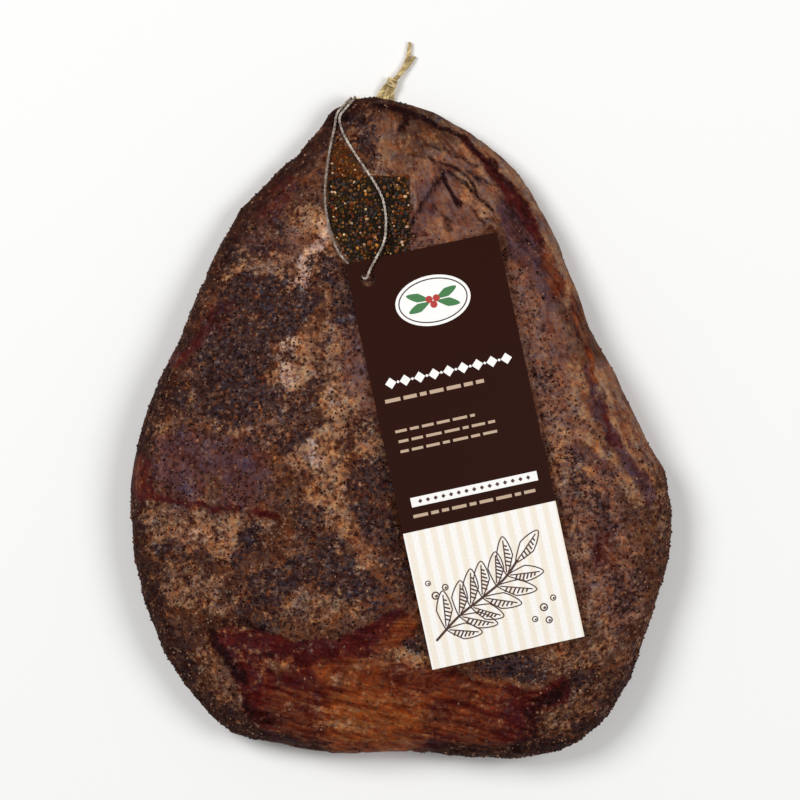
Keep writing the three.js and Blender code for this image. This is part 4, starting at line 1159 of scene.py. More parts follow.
def meat_material(colours):
    # Dry-cured fat and lean, rubbed with salt and pepper and hung: a dull leathery skin that is mottled at
    # every scale, torn patches of gritty crust, and bared lean whose fibres show where no rub has stuck.
    material, tree, shader, place = new_material("dry_cured_pork_rubbed_with_pepper")
    field = {name: add(tree, "Attribute", name).outputs["Fac"]
             for name in (*TISSUES, "patch", "rusty", "rim", "rind", "edge")}
    way = add(tree, "Attribute", "fibre_way").outputs["Vector"]
    broad, torn, mottle, dust, fibres = (
        add(tree, "TexNoise", inputs={
            "Vector": along, "Scale": per_mm(size), "Detail": detail, "Roughness": rough,
            "Distortion": twist})
        for along, size, detail, rough, twist in (
            (place, 24, 3, 0.65, 0), (place, 8, 5, 0.75, 0.3), (place, 4.6, 2, 0.8, 0.3),
            (place, 2.0, 2, 0.75, 0), (way, 2.6, 3, 0.65, 0)))

    # Grit of pepper, salt and spice: cells of about 1 mm, each with its own random numbers.
    stirred = add(tree, "VectorMath", "MULTIPLY_ADD", {
        0: add(tree, "TexNoise", inputs={"Vector": place, "Scale": per_mm(0.9)}).outputs[1],
        1: (0.7 * MM,) * 3, 2: place})
    cells = add(tree, "TexVoronoi", inputs={"Vector": stirred, "Scale": per_mm(1.15)})
    luck, hue, kind = add(tree, "SeparateColor", inputs={0: cells.outputs["Color"]}).outputs
    grain = add(tree, "MapRange", "SMOOTHSTEP", {0: cells.outputs["Distance"], 1: 0.62, 2: 0.3})

    # Each tissue's border is torn by the noise and broken grain by grain, and the amber's follows the fibres.
    # The numbers are the noise's reach, the grains' reach, and the border's low and high.
    torn_by = {
        "rosy": (1.6, 0.3, 0.1, 1.0), "rim": (1.2, 0.2, 0.2, 0.9), "pale": (2.4, 0.25, 0.15, 0.95),
        "cream": (2.2, 0.4, 0.25, 1.1),
        "lean": (1.7, 0.2, 0.15, 0.95), "crust": (-2.2, 0.35, 0.1, 0.8), "edge": (-1.5, 0.3, 0.15, 0.95),
        "glaze": (-1.6, 0.3, 0.1, 0.9), "amber": (1.3, 0.1, 0.0, 1.2), "sinew": (2.0, 0.4, 0.1, 1.1),
        "seam": (-1.6, 0.3, 0.1, 0.9), "wiped": (0.8, 0.1, 0.1, 0.9), "rind": (0.5, 0.1, 0.2, 0.8),
        "patch": (0.3, 0.1, 0.3, 0.7)}
    tear = add(tree, "Math", "MULTIPLY_ADD", {0: dust, 1: 0.6, 2: torn})
    tear_middle, grain_middle = (0.6 + 1) / 2, 0.5
    calm = add(tree, "MapRange", inputs={0: field["wiped"], 4: 0.75})
    tear_there = add(tree, "Mix", inputs={0: calm, 2: tear, 3: tear_middle})
    share = {}
    for name, (reach, by_grain, low, high) in torn_by.items():
        noise = fibres if name == "amber" else tear_there
        moved = add(tree, "Math", "MULTIPLY_ADD", {0: noise, 1: reach, 2: field[name]})
        moved = add(tree, "Math", "MULTIPLY_ADD", {0: kind, 1: by_grain, 2: moved})
        middle = reach * (0.5 if name == "amber" else tear_middle) + by_grain * grain_middle
        share[name] = add(tree, "MapRange", "SMOOTHSTEP", {0: moved, 1: low + middle, 2: high + middle})
    brown = add(tree, "MapRange", "SMOOTHSTEP", {0: broad, 1: 0.4, 2: 0.62})
    bared = add(tree, "Math", "MAXIMUM", {0: share["glaze"], 1: share["amber"]})
    # A painted grey sheen on the smooth lean, in patches, with some bloom.
    bloom = add(tree, "MapRange", "SMOOTHSTEP", {0: torn, 1: 0.46, 2: 0.66, 4: 0.7})
    bloom = add(tree, "Math", "MULTIPLY", {0: bloom, 1: share["lean"]})
    dusted = add(tree, "MapRange", "SMOOTHSTEP", {0: tear, 1: 0.84, 2: 1.1, 4: 0.22})
    dusted = add(tree, "Math", "MULTIPLY", {0: dusted, 1: share["glaze"]})

    # The crust's grains are black, brown, rust, slate or salt by their cell's numbers.
    crust = colours.crust
    for shade, number, above, below, much in (
        (colours.rust_grain, hue, 0.9, 0.94, 0.7), (colours.slate_grain, hue, 0.12, 0.09, 0.25),
        (colours.salt_grain, kind, 0.95, 0.98, 0.35),
    ):
        chosen = add(tree, "MapRange", inputs={0: number, 1: above, 2: below, 4: much})
        crust = add(tree, "Mix", "RGBA", {0: chosen, 6: crust, 7: shade}).outputs[2]

    tint = colours.fat
    for over, amount in (
        (colours.fat_brown, brown), (colours.rosy, share["rosy"]), (colours.rim, share["rim"]),
        (colours.pale_fat, share["pale"]), (colours.cream, share["cream"]), (colours.lean, share["lean"]),
        (colours.bloom, bloom),
        # The edge's colour is painted shade along the outline, with some browned skin.
        (crust, share["crust"]), (colours.edge, share["edge"]), (colours.glaze, share["glaze"]),
        (colours.amber, share["amber"]), (colours.bloom, dusted), (colours.sinew, share["sinew"]),
        (colours.seam, share["seam"]), (colours.rind, share["rind"]),
    ):
        tint = add(tree, "Mix", "RGBA", {0: amount, 6: tint, 7: over}).outputs[2]

    # Lighter and darker, by powers of e: mottled at 5 mm and 2 mm and by the grain, more so on the crust, and
    # along the fibres of the bared lean. The light side is calmer than the dark one, and dark spots are redder,
    # because green and blue fall further. A wider noise and the grain's hue make spots warmer or cooler.
    layers = [add(tree, "Math", "MULTIPLY_ADD", {0: layer, 1: wide, 2: -wide / 2})
              for layer, wide in ((mottle, 2.2), (dust, 2.0), (luck, 1.2), (fibres, 2.4))]
    spread = None
    for amount, weights in (  # how much of each kind, for the fat and then for what lies over it
        (None, (1.0, 0.8, 0.3, 0.0)), (share["wiped"], (0.6, 0.5, 0.1, 1.1)),
        (share["crust"], (0.9, 1.0, 0.9, 0.0)), (bared, (0.6, 0.55, 0.15, 1.1)),
    ):
        here = 0.0
        for layer, weight in zip(layers, weights):
            here = add(tree, "Math", "MULTIPLY_ADD", {0: layer, 1: weight, 2: here})
        spread = here if spread is None else add(tree, "Mix", inputs={0: amount, 2: spread, 3: here})
    calmer = add(tree, "Math", "MULTIPLY", {0: spread, 1: 0.6})
    spread = add(tree, "Math", "MINIMUM", {0: spread, 1: calmer})
    warmth = add(tree, "TexNoise", inputs={
        "Vector": add(tree, "VectorMath", "ADD", {0: place, 1: (0.31, 0.17, 0.05)}),
        "Scale": per_mm(7), "Detail": 4, "Roughness": 0.8})
    warmth = add(tree, "Math", "MULTIPLY_ADD", {0: warmth, 1: 1.4, 2: -0.7})
    warmth = add(tree, "Math", "MULTIPLY_ADD", {0: hue, 1: 0.26, 2: warmth})
    warmth = add(tree, "Math", "ADD", {0: warmth, 1: -0.13})
    tones = add(tree, "CombineXYZ")
    for channel, (fall, when_bare, when_warm) in enumerate((  # red, green and blue
            (0.95, -0.15, 1.35), (1.5, 0.1, 0.35), (1.55, 0.45, -1.15))):
        fall = add(tree, "Math", "MULTIPLY_ADD", {0: bared, 1: when_bare, 2: fall})
        power = add(tree, "Math", "MULTIPLY", {0: spread, 1: fall})
        power = add(tree, "Math", "MULTIPLY_ADD", {0: warmth, 1: when_warm, 2: power})
        tone = add(tree, "Math", "EXPONENT", {0: power})
        feed(tree, tones, {channel: tone})
    tint = add(tree, "VectorMath", "MULTIPLY", {0: tint, 1: tones})

    # Ground pepper pressed into the rest, in two sizes: a cell holds a dark spot where its number is under the
    # density, and the spot's size comes from another of its numbers.
    dense = 0.5
    for amount, more in ((share["lean"], 0.05), (share["rosy"], -0.22), (share["pale"], -0.1),
                         (share["wiped"], -0.4), (bared, -0.5), (share["rind"], -0.3)):
        dense = add(tree, "Math", "MULTIPLY_ADD", {0: amount, 1: more, 2: dense})
    speck = 0.0
    for pitch, fewer in ((1.7, -0.1), (2.6, -0.04)):
        spots = add(tree, "TexVoronoi", inputs={"Vector": stirred, "Scale": per_mm(pitch)})
        number, reach, _ = add(tree, "SeparateColor", inputs={0: spots.outputs["Color"]}).outputs
        allowed = add(tree, "Math", "ADD", {0: dense, 1: fewer})
        lies = add(tree, "Math", "LESS_THAN", {0: number, 1: allowed})
        rim = add(tree, "Math", "MULTIPLY_ADD", {0: reach, 1: 0.2, 2: 0.34})
        core = add(tree, "Math", "MULTIPLY", {0: rim, 1: 0.35})
        spot = add(tree, "MapRange", "SMOOTHSTEP", {0: spots.outputs["Distance"], 1: rim, 2: core})
        spot = add(tree, "Math", "MULTIPLY", {0: lies, 1: spot})
        speck = add(tree, "Math", "MAXIMUM", {0: spot, 1: speck})
    faint = add(tree, "Math", "MULTIPLY", {0: speck, 1: 0.74})
    spot_tint = add(tree, "Mix", "RGBA", {
        0: share["crust"], 6: colours.speck, 7: colours.black_grain}).outputs[2]
    tint = add(tree, "Mix", "RGBA", {0: faint, 6: tint, 7: spot_tint}).outputs[2]
    ground = add(tree, "Mix", "RGBA", {
        0: field["rusty"], 6: colours.patch_ground, 7: colours.patch_rust}).outputs[2]
    tint = add(tree, "Mix", "RGBA", {0: share["patch"], 6: tint, 7: ground}).outputs[2]
    feed(tree, shader, {"Base Color": tint})

    gloss = add(tree, "MapRange", inputs={0: bared, 3: 0.62, 4: 0.4})
    gloss = add(tree, "Math", "MULTIPLY_ADD", {0: dust, 1: 0.12, 2: gloss})
    feed(tree, shader, {"Roughness": gloss, "Specular IOR Level": 0.04})

    height = add(tree, "Math", "MULTIPLY", {0: dust, 1: 0.35})
    gritty = add(tree, "Math", "MULTIPLY", {0: grain, 1: share["crust"]})
    fibrous = add(tree, "Math", "MAXIMUM", {0: bared, 1: share["wiped"]})
    raised = add(tree, "Math", "MULTIPLY", {0: fibres, 1: fibrous})
    for layer, tall in ((mottle, 0.9), (torn, 1.2), (gritty, 0.3), (speck, 0.22), (raised, 0.5)):
        height = add(tree, "Math", "MULTIPLY_ADD", {0: layer, 1: tall, 2: height})
    bump = add(tree, "Bump", inputs={"Height": height, "Distance": MM, "Strength": 0.7})
    feed(tree, shader, {"Normal": bump})
    return material


# The pepper.


def grain_shapes(divisions, least, draw, count=6):
    """A few broken grains, as vertices of radius about 1 and their faces."""
    shapes = []
    for _ in range(count):
        bm = bmesh.new()
        bmesh.ops.create_icosphere(bm, subdivisions=divisions, radius=1)
        flat = draw.uniform(0.62, 1.0, 3)
        for vert in bm.verts:
            vert.co = Vector(vert.co * float(draw.uniform(least, 1.12))) * Vector(flat.tolist())
        bm.verts.ensure_lookup_table()
        sides = np.array([[v.index for v in f.verts] for f in bm.faces])
        shapes.append((np.array([v.co for v in bm.verts]), sides))
        bm.free()
    return shapes


def turned(spins):
    """Rotation matrices for angles about X, then Y, then Z."""
    c, s = np.cos(spins), np.sin(spins)
    one, none = np.ones(len(spins)), np.zeros(len(spins))
    about_x = np.array([[one, none, none], [none, c[:, 0], -s[:, 0]], [none, s[:, 0], c[:, 0]]])
    about_y = np.array([[c[:, 1], none, s[:, 1]], [none, one, none], [-s[:, 1], none, c[:, 1]]])
    about_z = np.array([[c[:, 2], -s[:, 2], none], [s[:, 2], c[:, 2], none], [none, none, one]])
    return np.einsum("ijn,jkn,kln->nil", about_z, about_y, about_x)


def heap(name, shapes, places, radii, spins, draw, rusty=None):
    """A mesh of many grains joined, with a random shade for each, from the upper half for rusty ones."""
    matrices = turned(spins)
    kinds = draw.integers(0, len(shapes), len(places))
    verts, faces, shades, first = [], [], [], 0
    for k, (place, radius, matrix) in enumerate(zip(places, radii, matrices)):
        shape, sides = shapes[kinds[k]]
        verts.append(shape @ matrix.T * radius + place)
        faces.append(sides + first)
        shade = draw.random()
        shades.append(np.full(len(shape), 0.5 + 0.5 * shade if rusty is not None and rusty[k] else shade))
        first += len(shape)
    mesh = bpy.data.meshes.new(name)
    mesh.from_pydata(np.concatenate(verts).tolist(), [], np.concatenate(faces).tolist())
    mark(mesh, "shade", np.concatenate(shades))
    return mesh


def pepper_material(name, shades, grain):
    # Dried berry skin and kernel, cracked in a mill: matt and wrinkled, each bit one of a few shades.
    material, tree, shader, place = new_material(name)
    pick = add(tree, "Attribute", "shade").outputs["Fac"]
    wrinkle = add(tree, "TexNoise", inputs={
        "Vector": place, "Scale": per_mm(grain), "Detail": 2, "Roughness": 0.6})
    tint = shades[0]
    for k, shade in enumerate(shades[1:], 1):
        above = add(tree, "MapRange", inputs={0: pick, 1: (k - 0.2) / len(shades), 2: (k + 0.2) / len(shades)})
        tint = add(tree, "Mix", "RGBA", {0: above, 6: tint, 7: shade}).outputs[2]
    tone = add(tree, "MapRange", inputs={0: wrinkle, 1: 0.3, 2: 0.7, 3: 0.7, 4: 1.3})
    tint = add(tree, "VectorMath", "SCALE", {0: tint, "Scale": tone})
    bump = add(tree, "Bump", inputs={"Height": wrinkle, "Distance": 0.2 * MM, "Strength": 0.8})
    feed(tree, shader, {"Base Color": tint, "Normal": bump, "Roughness": 0.7, "Specular IOR Level": 0.04})
    return material


def clear_of_others(x, y, radius):
    """Which grains on the face keep clear of the card and the string."""
    by_string = np.abs(along_path(x, y, string_on_face())) < radius + STRING_DIAMETER / 2 + 0.4
    return ~covered_by_tag(x, y, radius + 1) & ~by_string


def source_grains():
    """The cracked grains that are solid in the part's source, by its own rule and draws."""
    state = PEPPER_SEED

    def one():
        nonlocal state
        state = (state * 1664525 + 1013904223) % 4294967296
        return state / 4294967296

    xs, ys = zip(*PEPPER_CORNERS)
    grains, y, row = [], min(ys), 0
    while y <= max(ys):
        x = min(xs) + (row % 2) * PEPPER_PITCH / 2
        while x <= max(xs):
            px, py = x + (one() - 0.5) * 2 * PEPPER_JITTER, y + (one() - 0.5) * 2 * PEPPER_JITTER
            radius = PEPPER_LEAST + (PEPPER_MOST - PEPPER_LEAST) * one() ** 2
            grains.append((px, py, radius, *(one() * 2 * math.pi for _ in range(3))))
            x += PEPPER_PITCH
        y, row = y + PEPPER_PITCH * 0.87, row + 1
    grains = np.array(grains)
    x, y, radius = grains[:, 0], grains[:, 1], grains[:, 2]
    return grains[inside(x, y, PEPPER_CORNERS) & clear_of_others(x, y, radius)]


class CHEEK_OT_cracked_pepper(bpy.types.Operator):
    """Presses coarse cracked pepper into the face inside the string's loop, in three kinds"""

    bl_idname = "cheek.cracked_pepper"
    bl_label = "Cracked pepper"

    def execute(self, context):
        sizes, colours = context.scene.cheek_sizes, context.scene.cheek_colours
        draw = np.random.default_rng(21)
        large = source_grains()
        grains = [(x, y, r * LARGE_GROWN, r * LARGE_RISE, spin, draw.random()) for x, y, r, *spin in large]
        grains += [(x, y, r, KERNEL_RISE * r, draw.uniform(0, 2 * np.pi, 3), PALE_LOT)
                   for x, y, r in PALE_GRAINS]
        pitch = sizes.crumb_pitch / MM
        route = string_on_face()
        for y in np.arange(*CRUMB_AREA[1], pitch * CRUMB_ROWS):
            for x in np.arange(*CRUMB_AREA[0], pitch):
                px = x + draw.uniform(-CRUMB_JITTER, CRUMB_JITTER)
                py = y + draw.uniform(-CRUMB_JITTER, CRUMB_JITTER)
                radius, lot = draw.uniform(*CRUMB_RADII), draw.random()
                if lot > PALE_ABOVE:
                    radius, lot = PALE_SHRINKS * radius, PALE_LOT
                spin = draw.uniform(0, 2 * np.pi, 3)
                if float(to_polygon(px, py, PATCH_CORNERS)) > draw.uniform(*PATCH_FRAY):
                    continue
                by_string = abs(float(along_path(px, py, route))) < radius + STRING_ROOM
                under = tag_underside(px, py) - face_height(px, py) < CARD_ROOM
                if by_string or (under and bool(covered_by_tag(px, py, radius))):
                    radius = min(radius, TIGHT_RADIUS)
                rise = -CRUMB_SINKS * radius if by_string or under else 0.0
                grains.append((px, py, radius, rise, spin, lot))
        x, y, radii, rise = np.array([g[:4] for g in grains], float).T
        spins, lot = np.array([g[4] for g in grains], float), np.array([g[5] for g in grains], float)
        places = np.stack([x, y, face_height(x, y) + rise], 1)
        rusty = y > RUSTY_ABOVE
        lot -= RUSTY_LOWERS * (rusty & (lot != PALE_LOT))
        shapes = grain_shapes(2, 0.86, draw)
        for kind, low, high, shades in CRACKED_KINDS:
            picked = (lot >= low) & (lot < high)
            mesh = heap(f"cracked_pepper_{kind}", shapes, places[picked], radii[picked], spins[picked], draw,
                        rusty[picked])
            shades = [getattr(colours, shade + "_pepper") for shade in shades]
            finish_piece(mesh.name, mesh, [pepper_material(f"cracked_peppercorn_{kind}", shades, 0.8)],
                         flat=True)
        return {"FINISHED"}


GROUND_LEAST = 0.04  # how thickly it lies at least
GROUND_OFF_BARE, GROUND_OFF_RIND, GROUND_OFF_WIPED = 0.85, 0.75, 0.9  # how much less lies on these
GROUND_DRIFT = 0.3
GROUND_FROM, GROUND_SPARE = 0.6, 1.25  # its lowest height, and how many more spots are drawn than kept
GROUND_CARD_ROOM, GROUND_STRING_ROOM, STRING_LOW = 1.6, 1.3, 8


class CHEEK_OT_ground_pepper(bpy.types.Operator):
    """Scatters ground pepper over the meat, thick on the crust and thin on the bared lean"""

    bl_idname = "cheek.ground_pepper"
    bl_label = "Ground pepper"

    def execute(self, context):
        sizes, colours = context.scene.cheek_sizes, context.scene.cheek_colours
        surface = bpy.data.objects["pork_cheek_surface"].data
        surface.calc_loop_triangles()
        corners = np.empty(len(surface.loop_triangles) * 3, int)
        surface.loop_triangles.foreach_get("vertices", corners)
        corners = corners.reshape(-1, 3)
        places = places_of(surface)
        field = {}
        for name in (*TISSUES, "patch", "rind"):
            field[name] = np.empty(len(places), np.float32)
            surface.attributes[name].data.foreach_get("value", field[name])
        bare = GROUND_OFF_BARE * np.maximum(field["glaze"], field["amber"])
        drift = GROUND_DRIFT * (0.5 + 0.5 * cloud(places, 14, 2, 4.4))
        wanted = {
            "dark": 0.15 + 0.9 * field["crust"] + 0.4 * field["lean"] - 0.12 * field["rosy"] + drift - bare,
            "brown": 0.4 + 0.25 * field["pale"] - 0.35 * field["crust"] + drift - bare,
        }
        sides = places[corners]
        areas = np.linalg.norm(np.cross(sides[:, 1] - sides[:, 0], sides[:, 2] - sides[:, 0]), axis=1) / 2
        route = string_on_face()
        for kind, count, light, dark, seed in (
            ("dark", sizes.dark_count, colours.ground_maroon, colours.ground_black, 31),
            ("brown", sizes.brown_count, colours.ground_tan, colours.ground_brown, 32),
        ):
            draw = np.random.default_rng(seed)
            weight = np.clip(wanted[kind], GROUND_LEAST, None) * (1 - field["patch"])
            weight = weight * (1 - GROUND_OFF_RIND * field["rind"])
            weight *= 1 - GROUND_OFF_WIPED * field["wiped"]
            weight *= places[:, 2] > GROUND_FROM
            chance = areas * weight[corners].mean(1)
            picked = draw.choice(len(corners), int(count * GROUND_SPARE), p=chance / chance.sum())
            a, b = draw.random((2, len(picked), 1))
            a, b = np.where(a + b > 1, 1 - a, a), np.where(a + b > 1, 1 - b, b)
            first, second, third = sides[picked].transpose(1, 0, 2)
            spots = first + a * (second - first) + b * (third - first)
            radii = sizes.ground_radius / MM * (0.5 + 0.5 * draw.random(len(spots)) ** 2)
            x, y, z = spots.T
            tight = covered_by_tag(x, y, 1) & (tag_underside(x, y) - z < GROUND_CARD_ROOM)
            by_string = (np.abs(along_path(x, y, route)) < GROUND_STRING_ROOM) & (z > STRING_LOW)
            kept = np.flatnonzero(~tight & ~by_string)[:count]
            spins = draw.uniform(0, 2 * np.pi, (len(kept), 3))
            shapes = grain_shapes(1, 0.75, draw)
            mesh = heap(f"ground_pepper_{kind}", shapes, spots[kept], radii[kept], spins, draw)
            finish_piece(mesh.name, mesh, [pepper_material(mesh.name, (dark, light), 0.6)],
                         flat=True)
        return {"FINISHED"}


# The card and its print.

CUT_STEP = 3.0  # between the lines that let the card bend
FIELD_EDGE = -27.7  # where the brown field ends and the cream field starts, up from the middle
STRIPE_PITCH = 5.15
HOLE_SIDES = 32
HOLE_WINDOW = HOLE_RADIUS + 1.8  # half the width of the square of card round the hole
INK_THICKNESS = 0.03


def cut(bm, axis, at):
    """Cuts flat shapes along a line: across x for axis 0, across y for axis 1."""
    point, normal = [0, 0, 0], [0, 0, 0]
    point[axis], normal[axis] = at, 1
    bmesh.ops.bisect_plane(bm, geom=bm.verts[:] + bm.edges[:] + bm.faces[:], dist=1e-5,
                           plane_co=point, plane_no=normal)


def cut_across(bm):
    """Cuts flat shapes along the card's bending lines."""
    for k in range(-28, 29):
        cut(bm, 1, k * CUT_STEP)


def thicken(bm, thickness):
    """Gives flat shapes a thickness, with their lowest face at zero."""
    bmesh.ops.recalc_face_normals(bm, faces=bm.faces)
    bmesh.ops.reverse_faces(bm, faces=[f for f in bm.faces if f.normal.z > 0])
    bmesh.ops.solidify(bm, geom=bm.faces[:], thickness=thickness)
    bmesh.ops.recalc_face_normals(bm, faces=bm.faces)
    low = min(v.co.z for v in bm.verts)
    bmesh.ops.translate(bm, verts=bm.verts, vec=(0, 0, -low))


def hollow_out(bm, verts, width):
    """Leaves only a line of this width along the outline of one flat shape."""
    face = verts[0].link_faces[0]
    bmesh.ops.inset_individual(bm, faces=[face], thickness=width)
    bmesh.ops.delete(bm, geom=[face], context="FACES_ONLY")


def bend_onto_tag(bm, base):
    """Moves shapes from flat card places to the bent card, their zero this far over its underside."""
    for vert in bm.verts:
        across, up, z = vert.co
        x, y = tag_place(across, up)
        vert.co = (x, y, TAG_REST + float(tag_bend(across, up)) + base + z)


class CHEEK_OT_tag_card(bpy.types.Operator):
    """Cuts the card with its string hole, bends it and marks its printed fields"""

    bl_idname = "cheek.tag_card"
    bl_label = "Tag card"

    def execute(self, context):
        colours = context.scene.cheek_tag
        bm = bmesh.new()
        bmesh.ops.create_grid(bm, x_segments=1, y_segments=1, size=0.5)
        bmesh.ops.scale(bm, verts=bm.verts, vec=(TAG_WIDTH, TAG_LENGTH, 1))
        for axis in (0, 1):
            for edge in (-HOLE_WINDOW, HOLE_WINDOW):
                cut(bm, axis, HOLE[axis] + edge)
        middle = Vector((*HOLE, 0))

        def window():
            """The face round the hole's middle."""
            return min(bm.faces, key=lambda f: (f.calc_center_median() - middle).length)

        bmesh.ops.subdivide_edges(bm, edges=window().edges[:], cuts=HOLE_SIDES // 4 - 1)
        bmesh.ops.inset_individual(bm, faces=[window()], thickness=1.0)
        for vert in window().verts:
            vert.co = middle + (vert.co - middle).normalized() * HOLE_RADIUS
        bmesh.ops.delete(bm, geom=[window()], context="FACES_ONLY")
        cut_across(bm)
        cut(bm, 1, FIELD_EDGE)
        thicken(bm, TAG_THICKNESS)
        layer = bm.loops.layers.uv.new("Card")
        for face in bm.faces:
            up = face.calc_center_median().y
            face.material_index = (1 if up < FIELD_EDGE else 0) if face.normal.z > 0.5 else 2
            for loop in face.loops:
                loop[layer].uv = (loop.vert.co.x * MM, loop.vert.co.y * MM)
        bend_onto_tag(bm, 0)
        finish_piece("hang_tag_card", mesh_of("hang_tag_card", bm), [
            card_material("coated_card_brown_print", colours.brown, None, 0.38),
            card_material("coated_card_cream_stripes", colours.cream, colours.stripe, 0.45),
            card_material("uncoated_card_back", colours.paper, None, 0.8),
        ], ["hang_tag"], flat=True)
        return {"FINISHED"}


def card_material(name, ground, stripe, roughness):
    # Offset print on coated board: an even film of ink with a slight grain of the board under it.
    material, tree, shader, _ = new_material(name)
    card = add(tree, "UVMap", "Card")
    grain = add(tree, "TexNoise", inputs={"Vector": card, "Scale": per_mm(0.9), "Detail": 3, "Roughness": 0.6})
    tint = ground
    if stripe is not None:
        across = add(tree, "SeparateXYZ", inputs={0: card})
        turn = add(tree, "Math", "MULTIPLY", {0: across, 1: 2 * math.pi / (STRIPE_PITCH * MM)})
        wave = add(tree, "Math", "SINE", {0: turn})
        share = add(tree, "MapRange", "SMOOTHSTEP", {0: wave, 1: -0.45, 2: 0.45})
        tint = add(tree, "Mix", "RGBA", {0: share, 6: tint, 7: stripe}).outputs[2]
    tone = add(tree, "MapRange", inputs={0: grain, 1: 0.3, 2: 0.7, 3: 0.94, 4: 1.04})
    tint = add(tree, "VectorMath", "SCALE", {0: tint, "Scale": tone})
    bump = add(tree, "Bump", inputs={"Height": grain, "Distance": 0.03 * MM, "Strength": 0.5})
    feed(tree, shader, {"Base Color": tint, "Normal": bump, "Roughness": roughness, "Specular IOR Level": 0.06})
    return material


def shape_into(bm, at, size, turn=0.0, sides=4):
    """Adds a flat shape to the print: a bar for 4 sides, else an oval, this wide and high."""
    matrix = (Matrix.Translation((*at, 0)) @ Matrix.Rotation(turn, 4, "Z")
              @ Matrix.Diagonal((size[0] / 2, size[1] / 2, 1, 1)))
    if sides == 4:
        return bmesh.ops.create_grid(bm, x_segments=1, y_segments=1, size=1, matrix=matrix)["verts"]
    return bmesh.ops.create_circle(bm, cap_ends=True, radius=1, segments=sides, matrix=matrix)["verts"]


def leaf_into(bm, at, size, turn):
    """Adds a pointed leaf whose stalk end lies at the given place."""
    verts = bmesh.ops.create_circle(bm, cap_ends=True, radius=1, segments=20)["verts"]
    for vert in verts:
        x, y = vert.co.x, vert.co.y
        vert.co = ((x + 1) / 2 * size[0], y * (1 - 0.45 * abs(x)) * size[1] / 2 * (1 + 0.18 * x), 0)
    bmesh.ops.transform(bm, verts=verts, matrix=Matrix.Translation((*at, 0)) @ Matrix.Rotation(turn, 4, "Z"))
    return verts


INK_LAYERS = {"white": 0, "tan": 0, "ink": 1, "green": 2, "red": 3, "brown": 1}  # films under each ink
DASH_ROWS = [  # middle, place up the card, length and height
    (-6.9, 26.1, 41, 1.5), (-9.5, 13.3, 33, 1.1), (-4.5, 9.1, 42, 1.1), (-4.6, 5.0, 42, 1.1),
    (0.2, -21.8, 52.5, 1.3),
]
DASH_LENGTHS, DASH_GAP = (2.2, 6.5), 1.3
MEDALLION_AT = (0.3, 62.4)
STEM = [(-27.5, -73, 0), (-17, -65.5, 0), (-5, -59.5, 0), (5, -54, 0), (11.5, -48, 0)]
DRAWN_PEPPERCORNS = [  # place and width
    (-24, -55, 3.4), (-19.5, -52.5, 2.8), (-26, -49.5, 2.4), (18, -69, 3.4), (22.5, -66, 2.6),
    (13.5, -73, 2.6), (19, -74.5, 3.0),
]


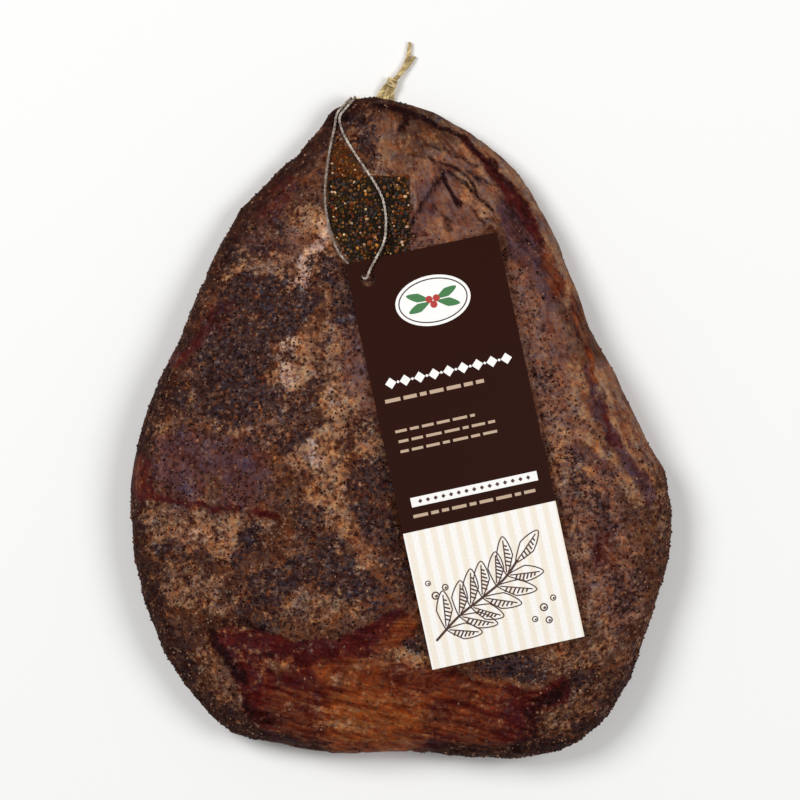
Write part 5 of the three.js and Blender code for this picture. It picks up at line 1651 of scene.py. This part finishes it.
class CHEEK_OT_tag_print(bpy.types.Operator):
    """Prints plain shapes on the card: a medallion with berries, lozenges, dashes, a bar and a leafy sprig"""

    bl_idname = "cheek.tag_print"
    bl_label = "Tag print"

    def execute(self, context):
        colours = context.scene.cheek_tag
        draw = np.random.default_rng(41)
        inks = {name: bmesh.new() for name in INK_LAYERS}
        self.medallion(inks)
        for k in range(9):  # the heading
            shape_into(inks["white"], (0.4 + (k - 4) * 6.0, 33.0), (3.3, 3.3), math.pi / 4)
        for k in range(8):
            shape_into(inks["white"], (0.4 + (k - 3.5) * 6.0, 33.0), (1.1, 1.1), 0, 12)
        for middle, up, length, height in DASH_ROWS:
            at = middle - length / 2
            while at < middle + length / 2 - 1:
                dash = min(draw.uniform(*DASH_LENGTHS), middle + length / 2 - at)
                shape_into(inks["tan"], (at + dash / 2, up), (dash, height))
                at += dash + DASH_GAP
        shape_into(inks["white"], (0.4, -16.1), (52.4, 3.9))
        for k in range(15):
            shape_into(inks["ink"], (0.4 + (k - 7) * 3.2, -16.1), (1.3, 1.3), math.pi / 4)
        self.sprig(inks["ink"], draw)
        for name, bm in inks.items():
            cut_across(bm)
            thicken(bm, INK_THICKNESS)
            bend_onto_tag(bm, TAG_THICKNESS + INK_LAYERS[name] * INK_THICKNESS)
            mesh = mesh_of(f"hang_tag_print_{name}", bm)
            finish_piece(mesh.name, mesh, [ink_material(name, getattr(colours, name))],
                         flat=True)
        return {"FINISHED"}

    @staticmethod
    def medallion(inks):
        """A white oval with a brown ring, four leaves and three berries."""
        at = MEDALLION_AT
        shape_into(inks["white"], at, (31, 20.5), 0, 48)
        ring = shape_into(inks["brown"], at, (28.6, 18.1), 0, 48)
        hollow_out(inks["brown"], ring, 0.5)
        for turn in (0.35, math.pi - 0.35, -0.3, math.pi + 0.3):
            stalk = (at[0] + 1.6 * math.cos(turn), at[1] + 1.6 * math.sin(turn))
            leaf_into(inks["green"], stalk, (9.5, 3.6), turn)
        for dx, dy in ((-1.5, 0.7), (1.5, 0.7), (0, -1.7)):
            shape_into(inks["red"], (at[0] + dx, at[1] + dy), (2.9, 2.9), 0, 20)

    @staticmethod
    def sprig(bm, draw):
        """A leafy branch with peppercorns beside it, in pen lines."""
        stem = along_route(STEM, 1.5)
        for a, b in zip(stem, stem[1:]):
            run = b - a
            shape_into(bm, tuple(((a + b) / 2)[:2]), (float(np.hypot(*run[:2])) + 0.2, 1.0),
                       math.atan2(run[1], run[0]))
        for k, share in enumerate(np.linspace(0.16, 1, 7)):
            spot = stem[min(len(stem) - 2, int(share * (len(stem) - 1)))]
            ahead = stem[min(len(stem) - 1, int(share * (len(stem) - 1)) + 1)] - spot
            heading = math.atan2(ahead[1], ahead[0])
            for side in (1, -1) if k < 6 else (0,):
                turn = heading + side * draw.uniform(0.75, 0.95)
                length = draw.uniform(14, 17)
                CHEEK_OT_tag_print.pen_leaf(bm, tuple(spot[:2]), (length, 7.0), turn)
        for x, y, wide in DRAWN_PEPPERCORNS:
            hollow_out(bm, shape_into(bm, (x, y), (wide, wide), 0, 18), wide * 0.17)
            shape_into(bm, (x + wide * 0.08, y - wide * 0.08), (wide * 0.4, wide * 0.3), 0.6, 12)

    @staticmethod
    def pen_leaf(bm, at, size, turn):
        """A leaf's outline, its midrib and short strokes on one half."""
        hollow_out(bm, leaf_into(bm, at, size, turn), 0.5)
        c, s = math.cos(turn), math.sin(turn)
        shape_into(bm, (at[0] + c * size[0] * 0.48, at[1] + s * size[0] * 0.48), (size[0] * 0.8, 0.5), turn)
        for share in (0.24, 0.34, 0.44, 0.54, 0.64, 0.74):
            wide = size[1] * 0.36 * math.sin(math.pi * min(1, share + 0.08))
            along, out = share * size[0], -wide / 2 - 0.1
            spot = (at[0] + c * along - s * out, at[1] + s * along + c * out)
            shape_into(bm, spot, (0.65, wide), turn - 0.35)


def ink_material(name, shade):
    # A film of printing ink: nearly flat, with the board's grain showing faintly through.
    material, tree, shader, place = new_material(f"printing_ink_{name}")
    grain = add(tree, "TexNoise", inputs={"Vector": place, "Scale": per_mm(0.8), "Detail": 2, "Roughness": 0.6})
    tone = add(tree, "MapRange", inputs={0: grain, 1: 0.3, 2: 0.7, 3: 0.93, 4: 1.04})
    tint = add(tree, "VectorMath", "SCALE", {0: shade, "Scale": tone})
    feed(tree, shader, {"Base Color": tint, "Roughness": 0.45})
    return material


STEPS = ("stage", "tag_string", "twine", "meat", "cracked_pepper", "ground_pepper", "tag_card", "tag_print")


class CHEEK_PT_panel(bpy.types.Panel):
    """Lists the pieces of the pork cheek and their settings"""

    bl_idname = "CHEEK_PT_panel"
    bl_label = "Cured pork cheek"
    bl_space_type = "VIEW_3D"
    bl_region_type = "UI"
    bl_category = "Cheek"

    def draw(self, context):
        for step in STEPS:
            self.layout.operator("cheek." + step)
        for group in GROUPS:
            box = self.layout.box()
            settings = getattr(context.scene, group)
            for name in settings.bl_rna.properties.keys():
                if name not in ("rna_type", "name"):
                    box.prop(settings, name)


GROUPS = {
    "cheek_sizes": CheekSizes, "cheek_colours": CheekColours, "cheek_tag": TagColours,
    "cheek_cords": CordColours, "cheek_stage": StageSettings,
}
CLASSES = (
    *GROUPS.values(), CHEEK_OT_stage, CHEEK_OT_tag_string, CHEEK_OT_twine, CHEEK_OT_meat,
    CHEEK_OT_cracked_pepper, CHEEK_OT_ground_pepper, CHEEK_OT_tag_card, CHEEK_OT_tag_print, CHEEK_PT_panel,
)


def register():
    for made in CLASSES:
        bpy.utils.register_class(made)
    for name, group in GROUPS.items():
        setattr(bpy.types.Scene, name, PointerProperty(type=group))


def unregister():
    for name in GROUPS:
        delattr(bpy.types.Scene, name)
    for made in reversed(CLASSES):
        bpy.utils.unregister_class(made)


def main():
    register()
    for step in STEPS:
        getattr(bpy.ops.cheek, step)()


if __name__ == "__main__":
    main()
